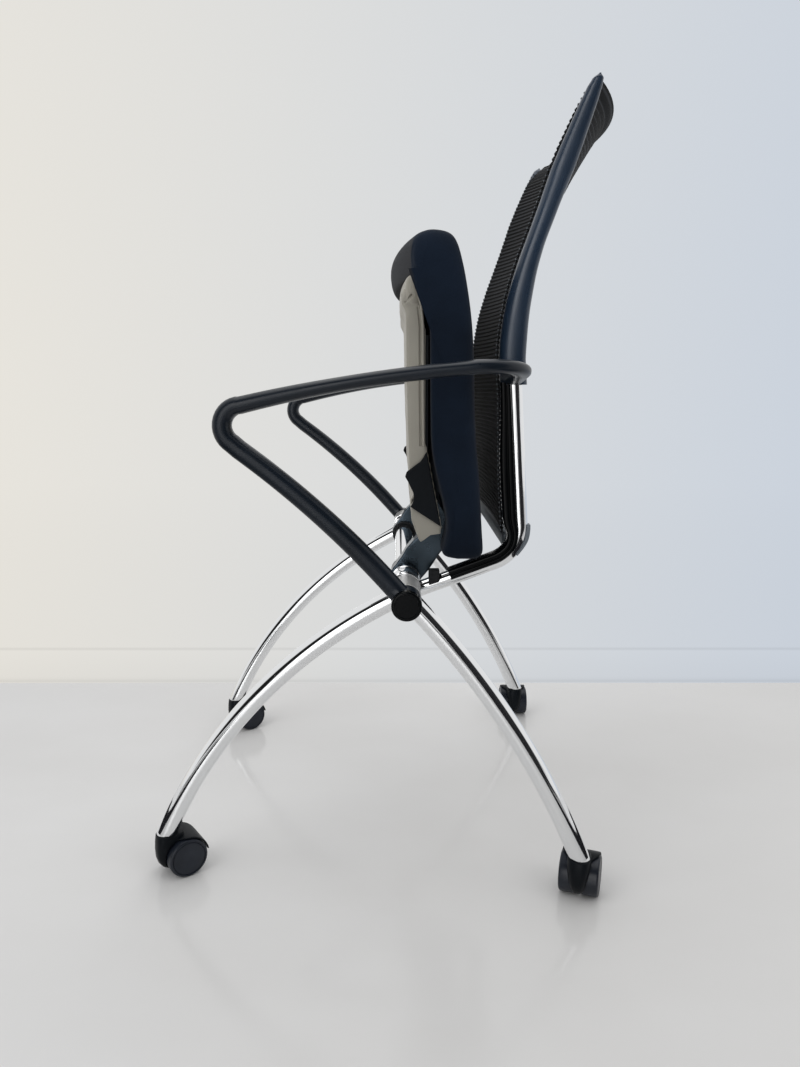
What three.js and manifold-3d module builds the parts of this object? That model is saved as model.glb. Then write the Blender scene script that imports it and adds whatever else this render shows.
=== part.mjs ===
// Nesting chair: a chromed tube frame on four casters, closed-loop armrests,
// a seat that flips up about two goosenecks, and a ribbed mesh back.
// Millimetres, +Z up, -Y is the front, +X is the sitter's left.
// The origin is on the floor under the middle of the chair.
// Heights are above the floor, and reaches are measured from the hub axis.
import * as THREE from 'three';
import { mergeVertices } from 'three/addons/utils/BufferGeometryUtils.js';
import Module from 'manifold-3d';

const wasm = await Module();
wasm.setup();

// Clearances
const gap = 0.3;
const overrun = 6;

// Hub: the cross tube and what is stacked on it, from the middle outwards
const hubHeight = 387;
const hubSetback = 32;
const crossRadius = 15;
const tubeWall = 2;
const bushStart = 139;
const bracketStart = 146;
const bracketWidth = 24;
const bracketEyeRadius = 20;
const bushRadius = 19.5;
const collarWidth = 62;
const collarRadius = 17.5;
const collarRingRadius = 18.5;
const collarRingWidth = 4;
const sleeveWidth = 52;
const eyeWidth = 24;
const eyeRadius = 17.5;
const tubeInset = 5;
const capThick = 9.5;
const capEdge = 1.5;

// Legs
const legRadius = 12.5;
const legEndHeight = 58;
const frontReach = 311;
const frontHubX = 226;
const frontFootX = 228;
const frontDrop = 8;
const frontBow = 41;
const rearReach = 214;
const rearHubX = 270;
const rearFootX = 284;
const rearDrop = 1.5;
const rearBow = 18.5;

// Back uprights: J-shaped tubes
const jRadius = 10;
const jInCollar = 11.7;
const jRootSetback = 4;
const jRootDrop = 18.6;
const jRootHeight = hubHeight - jRootDrop;
const jCornerSetback = 147.3;
const jRise = 53.2;
const jCornerHeight = jRootHeight + jRise;
const jLean = 15.9;
const jTopSetback = jCornerSetback - jLean;
const jLength = 230.4;
const jTopHeight = jCornerHeight + jLength;
const jBend = 48;
const jHidden = 45;

// Black channel that clips on the front of each upright
const bandHalfWidth = 13.5;
const bandLowInner = -1;
const bandLowOuter = 12;
const bandHighInner = 5;
const bandHighOuter = 21;
const bandStart = 46;

// Side rails
const railLap = 20;
const railBottom = jTopHeight - railLap;
const railLength = 353;
const railTop = railBottom + railLength;
const railLowRadius = 426;
const railWaistRise = 7.5;
const railWaistHeight = jTopHeight + railWaistRise;
const railWaistAhead = 0.9;
const railWaistSetback = jTopSetback - railWaistAhead;
const railArcRise = 142.5;
const railArcTop = railWaistHeight + railArcRise;
const railDepth = 32;
const railWidth = 28;
const railFlareLength = 115;
const railFlareHeight = railTop - railFlareLength;
const railFlare = 21;
const railHeightShares = [0, 0.15, 0.29, 0.42, 0.49, 0.6, 0.66, 0.72, 0.79, 0.85, 0.91, 0.96, 0.985, 1];
const railDepthShares = [1, 1, 0.92, 0.79, 0.74, 0.76, 0.8, 0.85, 0.8, 0.7, 0.6, 0.48, 0.38, 0.16];
const railWidthShares = [1, 1, 1, 0.97, 0.94, 0.9, 0.87, 0.84, 0.8, 0.76, 0.7, 0.6, 0.48, 0.22];

// Armrests
const elbowReach = 235;
const lowerArmBow = 11.6;
const wristAhead = 2.4;
const wristSetback = jTopSetback - wristAhead;
const wristRise = 1;
const wristHeight = jTopHeight + wristRise;
const elbowDrop = 57;
const elbowHeight = wristHeight - elbowDrop;
const upperArmBow = 10.6;
const elbowRadius = 23;
const wristRadius = 52;
const armDrop = 13;
const armRootThick = 23.5;
const armTopThick = 16;
const armElbowThick = 21;
const armWidth = 28;
const armRootWidth = 23;
const armThinningShare = 0.4;

// Mesh back
const meshRise = 23.4;
const meshBottom = jCornerHeight + meshRise;
const meshShort = 4;
const meshTop = railTop - meshShort;
const ribs = 64;
const ribDepth = 1.8;
const meshThick = 2.2;
const meshProud = 4.6;
const meshEdge = 11.5;
const bowLow = 5;
const bowHigh = 57;
const bowPower = 1.5;
const flarePower = 1.5;
const railUpperShare = 1.02;

// Bottom rail of the back
const bottomRailHeight = 21;
const bottomRailDepth = 16;
const bottomRailAhead = 14.3;
const bottomRailSetback = jCornerSetback - bottomRailAhead;

// Rubber pads: behind the bend of the uprights, and under the flipped-down seat
const padHalfWidth = 8;
const padProud = 3;
const padRise = 2.4;
const padLow = jCornerHeight + padRise;
const padLength = 34;
const padHigh = padLow + padLength;
const stopSetback = 29;
const stopLength = 14;
const stopWidth = 14;
const stopRise = 32.6;
const stopTop = jRootHeight + stopRise;

// Seat pivot
const pivotSetback = 52;
const pivotRise = 59;
const pivotHeight = hubHeight + pivotRise;
const pinRadius = 5;
const pinHeadRadius = 8;
const pinHeadThick = 2;
const bossRadius = 9;
const flipAngle = THREE.MathUtils.degToRad(88);

// Seat, as it stands flipped up
const shellHalfWidth = 205;
const shellBelow = 26;
const shellBottom = pivotHeight - shellBelow;
const shellLength = 325;
const shellDepth = 24;
const shellWall = 3;
const shellCorner = 45;
const shellRearCorner = 25;
const saddleRadius = 20;
const boardThick = 10;
const cushionHalfWidth = 225;
const cushionBelow = 27;
const cushionBottom = pivotHeight - cushionBelow;
const cushionBeyond = 61;
const cushionLength = shellLength + cushionBeyond;
const cushionTop = cushionBottom + cushionLength;
const cushionFront = 27;
const cushionDepth = 66;
const cushionCrown = 8;
const cushionEdge = 13;
const cushionFrontCorner = 55;
const cushionRearCorner = 35;
const coverThick = 3.5;
const notchRadius = 18.5;
const cheekThick = 4;
const cheekSide = 0.6;
const forkBase = 3;
const forkLowShare = 1.322;
const forkHighShare = 2.203;
const forkLow = pivotHeight + pivotRise * forkLowShare;
const forkHigh = pivotHeight + pivotRise * forkHighShare;
const boardBelow = 2;
const boardBottom = forkLow - boardBelow;
const boardLength = 168;
const boardTop = boardBottom + boardLength;
const pocketSide = 4;

// Casters
const trail = 19;
const wheelRadius = 25.5;
const casterHalfWidth = 25;
const hoodHalfWidth = 23;
const webHalf = 3;
const fenderGap = 0.7;
const fenderThick = 2.2;
const axleRadius = 3;
const axleCover = 2.5;
const stemRadius = 5;
const stemInLeg = 13;
const stemInHood = 12;
const skirtReach = 17;
const fenderFrom = 12;
const fenderTo = 105;
const wheelFaceShare = 0.85;
const wheelDishShare = 0.82;

// Steps along a back tube
const tubeSteps = 17;

const chrome = [0xd7dadd, 0.12, 1];
const satinGrey = [0xb9b8b2, 0.4, 0.3];
const darkSteel = [0x3a4450, 0.3, 0.8];
const mattBlack = [0x1b1d20, 0.5, 0];
const glossBlack = [0x0c0c0e, 0.18, 0];
const rubberBlack = [0x17181a, 0.8, 0];
const shellGrey = [0xa9a69d, 0.5, 0];
const fabricNavy = [0x1a202a, 0.95, 0];
const meshBlack = [0x1d1e21, 0.8, 0];
const padGrey = [0x80868a, 0.6, 0];

const chair = new THREE.Group();
const sides = [{ name: 'left', sign: 1 }, { name: 'right', sign: -1 }];

// General helpers
const count = (n) => [...Array(n).keys()];
const mix = THREE.MathUtils.lerp;
const smooth = THREE.MathUtils.smoothstep;
const place = (x, setback, height) => new THREE.Vector3(x, hubSetback + setback, height);
const flat = (setback, height) => new THREE.Vector2(setback, height);

function interpolate(shares, values, share) {
  const last = shares.length - 1;
  const i = Math.min(last - 1, Math.max(0, shares.findIndex((s) => s > share) - 1));
  const from = share >= shares[last] ? last - 1 : i;
  const t = (share - shares[from]) / (shares[from + 1] - shares[from]);
  return mix(values[from], values[from + 1], Math.min(1, Math.max(0, t)));
}

// One closed body with merged corners and its faces pointing out
function closed(geometry) {
  const bare = geometry.clone();
  bare.deleteAttribute('normal');
  bare.deleteAttribute('uv');
  const merged = mergeVertices(bare);
  const position = merged.attributes.position;
  const kept = [];
  let volume = 0;
  for (let i = 0; i < merged.index.count; i += 3) {
    const [a, b, c] = [0, 1, 2].map((k) => merged.index.getX(i + k));
    if (a === b || b === c || c === a) continue;
    kept.push(a, b, c);
    const [p, q, r] = [a, b, c].map((k) => new THREE.Vector3().fromBufferAttribute(position, k));
    volume += p.dot(q.cross(r));
  }
  if (volume < 0) kept.reverse();
  merged.setIndex(kept);
  return merged;
}

function solid(geometry) {
  const shape = closed(geometry);
  const vertProperties = new Float32Array(shape.attributes.position.array);
  const triVerts = new Uint32Array(shape.index.array);
  return new wasm.Manifold(new wasm.Mesh({ numProp: 3, vertProperties, triVerts }));
}

function geometryOf(manifold) {
  const mesh = manifold.getMesh();
  const geometry = new THREE.BufferGeometry();
  const points = new Float32Array(mesh.vertProperties);
  geometry.setAttribute('position', new THREE.BufferAttribute(points, 3));
  geometry.setIndex(new THREE.BufferAttribute(new Uint32Array(mesh.triVerts), 1));
  return geometry;
}

function cut(geometry, ...tools) {
  let body = solid(geometry);
  for (const tool of tools) body = body.subtract(solid(tool));
  return geometryOf(body);
}

function join(...geometries) {
  let body = solid(geometries[0]);
  for (const other of geometries.slice(1)) body = body.add(solid(other));
  return geometryOf(body);
}

function common(first, second) {
  return geometryOf(solid(first).intersect(solid(second)));
}

function mirrored(geometry) {
  return closed(geometry.clone().applyMatrix4(new THREE.Matrix4().makeScale(-1, 1, 1)));
}

function add(name, geometry, [color, roughness, metalness], parent = chair) {
  const material = new THREE.MeshStandardMaterial({ color, roughness, metalness });
  const mesh = new THREE.Mesh(geometry, material);
  mesh.name = name;
  parent.add(mesh);
}

function addPair(name, geometry, finish) {
  for (const side of sides) {
    const own = side.sign > 0 ? geometry : mirrored(geometry);
    add(`${name}_${side.name}`, own, finish);
  }
}

// Rings of points, all of one count, skinned and capped
function loft(rings) {
  const per = rings[0].length;
  const position = rings.flat().flatMap((p) => [p.x, p.y, p.z]);
  const index = [];
  for (let i = 0; i < rings.length - 1; i += 1) {
    for (let j = 0; j < per; j += 1) {
      const a = i * per + j;
      const b = i * per + ((j + 1) % per);
      index.push(a, b, b + per, a, b + per, a + per);
    }
  }
  for (const end of [0, rings.length - 1]) {
    const ring = rings[end];
    const normal = new THREE.Vector3();
    ring.forEach((p, j) => normal.add(p.clone().cross(ring[(j + 1) % per])));
    const steep = ['x', 'y', 'z'].sort((m, n) => Math.abs(normal[n]) - Math.abs(normal[m]))[0];
    const [u, v] = ['x', 'y', 'z'].filter((axis) => axis !== steep);
    const outline = ring.map((p) => new THREE.Vector2(p[u], p[v]));
    const around = Math.sign(THREE.ShapeUtils.area(outline)) * (end === 0 ? -1 : 1);
    for (const face of THREE.ShapeUtils.triangulateShape(outline.slice(), [])) {
      const turn = Math.sign(THREE.ShapeUtils.area(face.map((k) => outline[k])));
      const corners = turn === around ? face : face.slice().reverse();
      index.push(...corners.map((k) => end * per + k));
    }
  }
  const geometry = new THREE.BufferGeometry();
  geometry.setAttribute('position', new THREE.Float32BufferAttribute(position, 3));
  geometry.setIndex(index);
  return closed(geometry);
}

// A rounded section, square to the path, that keeps its side direction
function rounded(centre, across, up, halfWidth, halfHeight, points, power = 2) {
  return count(points).map((k) => {
    const angle = (2 * Math.PI * k) / points;
    const c = Math.cos(angle);
    const s = Math.sin(angle);
    const u = Math.sign(c) * Math.abs(c) ** (2 / power) * halfWidth;
    const v = Math.sign(s) * Math.abs(s) ** (2 / power) * halfHeight;
    return centre.clone().addScaledVector(across, u).addScaledVector(up, v);
  });
}

// An upright outline of setbacks and heights, given a width along X
function slab(outline, from, to) {
  const shape = new THREE.Shape(outline);
  const geometry = new THREE.ExtrudeGeometry(shape, { depth: to - from, bevelEnabled: false });
  const [x, y, z] = [[1, 0, 0], [0, 1, 0], [0, 0, 1]].map((axis) => new THREE.Vector3(...axis));
  geometry.applyMatrix4(new THREE.Matrix4().makeBasis(y, z, x));
  return geometry.translate(from, hubSetback, 0);
}

// A round bar along X
function bar(radius, from, to, setback, height, segments = 20) {
  const geometry = new THREE.CylinderGeometry(radius, radius, to - from, segments);
  geometry.rotateZ(-Math.PI / 2);
  return geometry.translate((from + to) / 2, hubSetback + setback, height);
}

// A turned piece about an axis along X, from pairs of place along X and radius
function turned(profile, setback, height, segments = 20) {
  const points = profile.map(([along, radius]) => new THREE.Vector2(radius, along));
  const geometry = new THREE.LatheGeometry(points, segments);
  geometry.rotateZ(-Math.PI / 2);
  return closed(geometry.translate(0, hubSetback + setback, height));
}

function ringOnHub(from, to, radius) {
  const bore = crossRadius + gap;
  return turned([[from, bore], [from, radius], [to, radius], [to, bore], [from, bore]], 0, hubHeight);
}

function arcBetween(start, end, rise, steps) {
  const chord = end.clone().sub(start);
  const half = chord.length() / 2;
  const radius = (half * half + rise * rise) / (2 * rise);
  const along = chord.clone().normalize();
  const across = new THREE.Vector2(-along.y, along.x);
  const centre = start.clone().add(end).divideScalar(2).addScaledVector(across, rise - radius);
  const sweep = Math.asin(half / radius);
  return count(steps + 1).map((i) => {
    const angle = sweep * ((2 * i) / steps - 1);
    const point = centre.clone().addScaledVector(across, radius * Math.cos(angle));
    return point.addScaledVector(along, radius * Math.sin(angle));
  });
}

// The arc that rounds a corner between two points at the same distance from it
function cornerArc(from, corner, to, steps) {
  const a = from.clone().sub(corner).normalize();
  const b = to.clone().sub(corner).normalize();
  const weight = Math.sin(a.angleTo(b) / 2);
  return count(steps + 1).map((i) => {
    const t = i / steps;
    const [p, q, r] = [(1 - t) ** 2, 2 * weight * t * (1 - t), t ** 2];
    const point = from.clone().multiplyScalar(p).addScaledVector(corner, q).addScaledVector(to, r);
    return point.divideScalar(p + q + r);
  });
}

// Straight or curved runs joined with rounded corners, clear of each corner by a share
const cornerClearShare = 1.15;

function roundCorners(runs, radii, steps) {
  let path = runs[0];
  runs.slice(1).forEach((run, k) => {
    const corner = run[0];
    const before = path[path.length - 2].clone().sub(corner).normalize();
    const after = run[1].clone().sub(corner).normalize();
    const reach = radii[k] / Math.tan(before.angleTo(after) / 2);
    const kept = path.filter((p) => p.distanceTo(corner) > reach * cornerClearShare);
    const rest = run.filter((p) => p.distanceTo(corner) > reach * cornerClearShare);
    const from = corner.clone().addScaledVector(before, reach);
    const to = corner.clone().addScaledVector(after, reach);
    path = [...kept, ...cornerArc(from, corner, to, steps), ...rest];
  });
  return path;
}

function tubeAlong(path, radius, steps, around = 12) {
  const section = new THREE.Shape();
  section.absarc(0, 0, radius, 0, 2 * Math.PI);
  const extrudePath = new THREE.CatmullRomCurve3(path);
  return new THREE.ExtrudeGeometry(section, { steps, curveSegments: around / 2, extrudePath });
}

// Hub: where each piece of the left stack starts along X
const collarStart = bracketStart + bracketWidth + gap;
const sleeveStart = collarStart + collarWidth + gap;
const eyeStart = sleeveStart + sleeveWidth + gap;
const capStart = eyeStart + eyeWidth + gap;
const crossHalf = capStart - gap - tubeInset;
const jX = collarStart + jInCollar;
const armX = eyeStart + eyeWidth / 2;
const boreRadius = crossRadius + gap;

function crossTube() {
  const inner = bar(crossRadius - tubeWall, -crossHalf - overrun, crossHalf + overrun, 0, hubHeight);
  return cut(bar(crossRadius, -crossHalf, crossHalf, 0, hubHeight), inner);
}

function frameCollar() {
  const end = collarStart + collarWidth;
  const grooves = [collarStart + jRadius * 2, end];
  const profile = [[collarStart, boreRadius], [collarStart, collarRadius]];
  for (const groove of grooves) {
    profile.push([groove - collarRingWidth, collarRadius], [groove - collarRingWidth, collarRingRadius]);
    profile.push([groove, collarRingRadius]);
    if (groove < end) profile.push([groove, collarRadius]);
  }
  profile.push([end, boreRadius], [collarStart, boreRadius]);
  return turned(profile, 0, hubHeight);
}

function hubCap() {
  const spigot = boreRadius - 2 * gap;
  const face = capStart + capThick;
  return turned([
    [crossHalf + gap, 0], [crossHalf + gap, spigot], [capStart, spigot], [capStart, eyeRadius],
    [face - capEdge, eyeRadius], [face, eyeRadius - capEdge], [face, 0],
  ], 0, hubHeight);
}

// What a tube that is welded to the hub is coped around
function hubCope() {
  const outer = collarRingRadius + gap;
  const end = sleeveStart + sleeveWidth + gap;
  return [
    bar(outer, collarStart - gap, sleeveStart, 0, hubHeight),
    bar(collarRadius + gap, collarStart, end, 0, hubHeight),
  ];
}

// Legs: bowed tubes with a plug at the foot, bored for the caster stem
function leg(hubX, footX, reach, drop, bow) {
  const foot = flat(reach, legEndHeight);
  const steps = 10;
  const arc = arcBetween(flat(0, hubHeight - drop), foot, bow, steps);
  const path = arc.map((p, i) => place(mix(hubX, footX, i / steps), p.x, p.y));
  const heading = path[steps].clone().sub(path[steps - 1]).normalize();
  const beyond = path[steps].clone().addScaledVector(heading, legRadius);
  const hollow = path.slice(0, -1);
  const outer = tubeAlong([...path, beyond], legRadius, steps + 1);
  const inner = tubeAlong(hollow, legRadius - tubeWall, steps, 6);
  const floor = new THREE.BoxGeometry(legEndHeight, legEndHeight, legEndHeight);
  floor.translate(footX, hubSetback + reach, legEndHeight / 2);
  const stemHole = new THREE.CylinderGeometry(stemRadius + gap, stemRadius + gap, 2 * (stemInLeg + gap), 16);
  stemHole.rotateX(Math.PI / 2).translate(footX, hubSetback + reach, legEndHeight);
  return cut(outer, inner, floor, stemHole, ...hubCope());
}

// Armrests: an eye on the hub, a bowed stay, a rounded elbow and a bowed rest
function armPath() {
  const lower = arcBetween(flat(0, hubHeight), flat(-elbowReach, elbowHeight), -lowerArmBow, 6);
  const upper = arcBetween(flat(-elbowReach, elbowHeight), flat(wristSetback, wristHeight), upperArmBow, 8);
  const inward = [0, 0.5, 1].map((t) => {
    return place(mix(armX, jX + railWidth / 2 - overrun, t), wristSetback, wristHeight - armDrop * t);
  });
  const runs = [lower, upper].map((run) => run.map((p) => place(armX, p.x, p.y)));
  return roundCorners([...runs, inward], [elbowRadius, wristRadius], 6);
}

function arm() {
  const path = armPath();
  const across = new THREE.Vector3(1, 0, 0);
  const elbow = place(armX, -elbowReach, elbowHeight);
  const nearest = Math.min(...path.map((p) => p.distanceTo(elbow)));
  const elbowAt = path.findIndex((p) => p.distanceTo(elbow) === nearest);
  const rings = path.map((p, i) => {
    const before = path[Math.max(0, i - 1)];
    const after = path[Math.min(path.length - 1, i + 1)];
    const heading = after.clone().sub(before).normalize();
    across.addScaledVector(heading, -across.dot(heading)).normalize();
    const up = heading.clone().cross(across);
    const below = Math.min(1, i / elbowAt);
    const past = Math.max(0, (i - elbowAt) / (path.length - 1 - elbowAt));
    const root = mix(armRootThick, armElbowThick, smooth(below, 0, 1));
    const thick = mix(root, armTopThick, smooth(past, 0, armThinningShare));
    const width = mix(armRootWidth, armWidth, below);
    return rounded(p, across.clone(), up, width / 2, thick / 2, 12, 2.4);
  });
  const eye = bar(eyeRadius, eyeStart, eyeStart + eyeWidth, 0, hubHeight);
  const bore = bar(boreRadius, eyeStart - overrun, eyeStart + eyeWidth + overrun, 0, hubHeight);
  const end = jX + railWidth / 2 + gap;
  const block = new THREE.BoxGeometry(railWidth, 2 * railDepth, 2 * railDepth);
  block.translate(end - railWidth / 2, hubSetback + wristSetback, wristHeight - armDrop);
  return cut(join(loft(rings), eye), bore, block);
}

// Back uprights and what clips on them
function jCentre() {
  const corner = flat(jCornerSetback, jCornerHeight);
  const run = [flat(jRootSetback, jRootHeight), corner];
  const top = flat(jTopSetback, jTopHeight);
  const rise = corner.clone().sub(top).normalize().multiplyScalar(-jHidden);
  const steps = 5;
  const low = count(steps + 1).map((i) => run[0].clone().lerp(corner, i / steps));
  const high = count(steps + 3).map((i) => corner.clone().lerp(top, i / (steps + 2)));
  high.push(top.clone().add(rise));
  const runs = [low, high].map((points) => points.map((p) => place(jX, p.x, p.y)));
  return roundCorners(runs, [jBend], 7);
}

function jTube() {
  const path = jCentre();
  const [before, last] = path.slice(-2);
  const beyond = last.clone().sub(before).setLength(overrun).add(last);
  const inner = tubeAlong([...path, beyond], jRadius - tubeWall, tubeSteps, 6);
  return cut(tubeAlong(path, jRadius, tubeSteps), inner, ...hubCope());
}

// A rounded strip along part of an upright, offset towards the inside of its bend
function strip(path, inner, outer, halfWidth) {
  const across = new THREE.Vector3(1, 0, 0);
  const rings = path.map((p, i) => {
    const before = path[Math.max(0, i - 1)];
    const after = path[Math.min(path.length - 1, i + 1)];
    const heading = after.clone().sub(before).normalize();
    const inside = across.clone().cross(heading);
    const middle = (inner(p) + outer(p)) / 2;
    const centre = p.clone().addScaledVector(inside, middle);
    return rounded(centre, across, inside, halfWidth, (outer(p) - inner(p)) / 2, 12, 4);
  });
  return loft(rings);
}

function trimPath(path, from, to) {
  return path.filter((p) => p.y - hubSetback > from && p.z < to);
}

function frameBand() {
  const path = trimPath(jCentre(), bandStart, railBottom);
  const end = path[path.length - 1];
  const top = jCentre()[jCentre().length - 1];
  const share = (railBottom - gap - end.z) / (top.z - end.z);
  path.push(end.clone().lerp(top, share));
  const high = (p) => smooth(p.z, jCornerHeight, jCornerHeight + jBend);
  const inner = (p) => mix(bandLowInner, bandHighInner, high(p));
  const outer = (p) => mix(bandLowOuter, bandHighOuter, high(p));
  return cut(strip(path, inner, outer, bandHalfWidth), tubeAlong(jCentre(), jRadius + gap, tubeSteps));
}

function rearPad() {
  const path = jCentre().filter((p) => p.z > padLow - jRadius && p.z < padHigh);
  const outer = () => -jRadius + padProud;
  const inner = () => -jRadius - padProud;
  return cut(strip(path, inner, outer, padHalfWidth), tubeAlong(jCentre(), jRadius + gap, tubeSteps));
}

function stopPad() {
  const pad = new THREE.BoxGeometry(stopWidth, stopLength, stopTop - jRootHeight);
  const height = (stopTop + jRootHeight) / 2;
  pad.translate(jX + stopWidth / 2, hubSetback + stopSetback + stopLength / 2, height);
  const below = [
    flat(-overrun, 0), flat(jCornerSetback, 0), flat(jCornerSetback, jCornerHeight),
    flat(-overrun, jRootHeight),
  ];
  const under = slab(below, jX - overrun, jX + stopWidth + overrun);
  return cut(pad, tubeAlong(jCentre(), jRadius + gap, tubeSteps), under);
}

// Side rails: the line of their middle, and how deep and wide they are
const railArcSweep = Math.asin((railArcTop - railWaistHeight) / railLowRadius);
const railArcSetback = railWaistSetback + railLowRadius * (1 - Math.cos(railArcSweep));

function backSetback(height) {
  if (height < railWaistHeight) {
    const slope = (jTopSetback - jCornerSetback) / (jTopHeight - jCornerHeight);
    return jTopSetback + slope * (height - jTopHeight);
  }
  if (height < railArcTop) {
    const rise = height - railWaistHeight;
    return railWaistSetback + railLowRadius - Math.sqrt(railLowRadius ** 2 - rise ** 2);
  }
  return railArcSetback + (height - railArcTop) * Math.tan(railArcSweep) * railUpperShare;
}

function railShare(height) {
  return (height - railBottom) / (railTop - railBottom);
}

function railX(height) {
  const share = Math.max(0, (height - railFlareHeight) / (railTop - railFlareHeight));
  return jX + railFlare * share ** flarePower;
}

function railHalfDepth(height) {
  return (railDepth / 2) * interpolate(railHeightShares, railDepthShares, railShare(height));
}

function sideRail() {
  const across = new THREE.Vector3(1, 0, 0);
  const back = new THREE.Vector3(0, 1, 0);
  const rings = railHeightShares.map((share, i) => {
    const height = mix(railBottom, railTop, share);
    const centre = place(railX(height), backSetback(height), height);
    const halfWidth = (railWidth / 2) * railWidthShares[i];
    return rounded(centre, across, back, halfWidth, railHalfDepth(height), 12, 2.6);
  });
  return cut(loft(rings), tubeAlong(jCentre(), jRadius + gap, tubeSteps));
}

// Mesh back: level ribs between the rails, bowed rearwards
function meshBack() {
  const rows = 2 * ribs;
  const across = [-1, -0.5, 0, 0.5, 1];
  const rings = count(rows + 1).map((row) => {
    const share = row / rows;
    const height = mix(meshBottom, meshTop, share);
    const low = 1 - smooth(height, railBottom - railDepth, railBottom + railDepth);
    const lead = mix(railHalfDepth(Math.max(height, railBottom)), bandHighOuter, low) + meshProud;
    const front = backSetback(height) - lead;
    const bow = mix(bowLow, bowHigh, share ** bowPower);
    const half = railX(height) - meshEdge;
    const relief = row % 2 === 0 ? ribDepth : 0;
    const bowed = (u) => front + bow * (1 - u * u);
    const face = across.map((u) => place(u * half, bowed(u) + relief, height));
    const rear = across.map((u) => place(u * half, bowed(u) + ribDepth + meshThick, height));
    return [...face, ...rear.reverse()];
  });
  return loft(rings);
}

function bottomRail() {
  const half = jX - bandHalfWidth - gap;
  const rail = new THREE.BoxGeometry(2 * half, bottomRailDepth, bottomRailHeight);
  return rail.translate(0, hubSetback + bottomRailSetback, meshBottom - gap - bottomRailHeight / 2);
}

// Goosenecks: from an eye on the cross tube up and back to the seat pivot
const bracketOutlineShares = [
  [-0.31, 0.1], [-0.23, 0.29], [-0.1, 0.44], [0.02, 0.63], [0.19, 0.8], [0.44, 0.98], [0.67, 1.08],
  [0.87, 1.15], [1, 1.15], [1.17, 1], [1.17, 0.78], [0.96, 0.63], [0.83, 0.49], [0.69, 0.29],
  [0.56, 0.12], [0.38, -0.07], [0.15, -0.2], [-0.15, -0.2],
];

function bracket() {
  const rise = pivotRise;
  const outline = bracketOutlineShares.map(([u, v]) => flat(u * pivotSetback, hubHeight + v * rise));
  const end = bracketStart + bracketWidth;
  const eye = bar(bracketEyeRadius, bracketStart, end, 0, hubHeight);
  const plate = join(slab(outline, bracketStart, end), eye);
  const hubBore = bar(boreRadius, bracketStart - overrun, end + overrun, 0, hubHeight);
  const pinBore = bar(pinRadius + gap, bracketStart - overrun, end + overrun, pivotSetback, pivotHeight);
  return cut(plate, hubBore, pinBore);
}

const cheekInner = bracketStart - cheekSide - cheekThick;
const cheekOuter = bracketStart + bracketWidth + cheekSide + cheekThick;

function pivotPin() {
  const head = cheekOuter + gap + pinHeadThick;
  return turned([
    [cheekInner - pinHeadThick, 0], [cheekInner - pinHeadThick, pinRadius],
    [cheekOuter + gap, pinRadius], [cheekOuter + gap, pinHeadRadius], [head, pinHeadRadius], [head, 0],
  ], pivotSetback, pivotHeight, 16);
}

// Seat, flipped up. The cross tube lands in its saddle when it is flipped down
const pivot = flat(pivotSetback, pivotHeight);
const saddle = flat(0, hubHeight).rotateAround(pivot, -flipAngle);
const shellFrontShares = [
  [-0.27, 0.978], [-0.25, 0.948], [-0.04, 0.917], [0, 0.812], [0.02, 0.668], [0.07, 0.523],
  [0.125, 0.449], [0.154, 0.335], [0.2, 0.234], [0.29, 0.142], [0.67, 0.065], [1.17, 0.025],
];
const shellRearShares = [
  [1.58, 0.005], [1.64, 0.03], [1.88, 0.115], [1.1, 0.41], [1, 0.44], [1, 0.84], [0.86, 0.9],
  [0.66, 0.953], [0.36, 0.985], [0.06, 1.006], [-0.17, 0.998],
];

// The corner block stands a little over the outline, so that only its corners cut
const shellCrestShare = 1.03;

function shellOutline(inset, lift) {
  const points = [...shellFrontShares, ...shellRearShares];
  return points.map(([u, v]) => flat(u * shellDepth + inset, shellBottom + v * shellLength + lift));
}

// An upright plate with rounded corners that runs from front to back through the seat
function roundedBlock(halfWidth, bottom, top, lowCorner, highCorner) {
  const shape = new THREE.Shape();
  shape.moveTo(-halfWidth + lowCorner, bottom);
  shape.absarc(halfWidth - lowCorner, bottom + lowCorner, lowCorner, -Math.PI / 2, 0);
  shape.absarc(halfWidth - highCorner, top - highCorner, highCorner, 0, Math.PI / 2);
  shape.absarc(-halfWidth + highCorner, top - highCorner, highCorner, Math.PI / 2, Math.PI);
  shape.absarc(-halfWidth + lowCorner, bottom + lowCorner, lowCorner, Math.PI, 1.5 * Math.PI);
  const depth = 6 * shellDepth;
  const block = new THREE.ExtrudeGeometry(shape, { depth, bevelEnabled: false, curveSegments: 5 });
  return block.rotateX(Math.PI / 2).translate(0, hubSetback + depth / 2, 0);
}

const pocketFrom = cheekInner - pocketSide;
const pocketTo = cheekOuter + pocketSide;
const pocketOutlineShares = [
  [-1.8, -0.9], [0.45, -0.9], [0.45, 0.4], [0.19, 0.57], [-0.13, 0.8], [-0.42, 0.97], [-0.73, 1.25],
  [-1.8, 1.25],
];

// The room that a gooseneck and its fork sweep inside the seat
function pockets() {
  const size = pivotRise;
  const outline = pocketOutlineShares.map(([u, v]) => {
    return flat(pivotSetback + u * size, pivotHeight + v * size);
  });
  const left = slab(outline, pocketFrom, pocketTo);
  return [left, mirrored(left)];
}

function saddleBar(radius) {
  const half = cushionHalfWidth + overrun;
  return bar(radius, -half, half, saddle.x, saddle.y);
}

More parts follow.
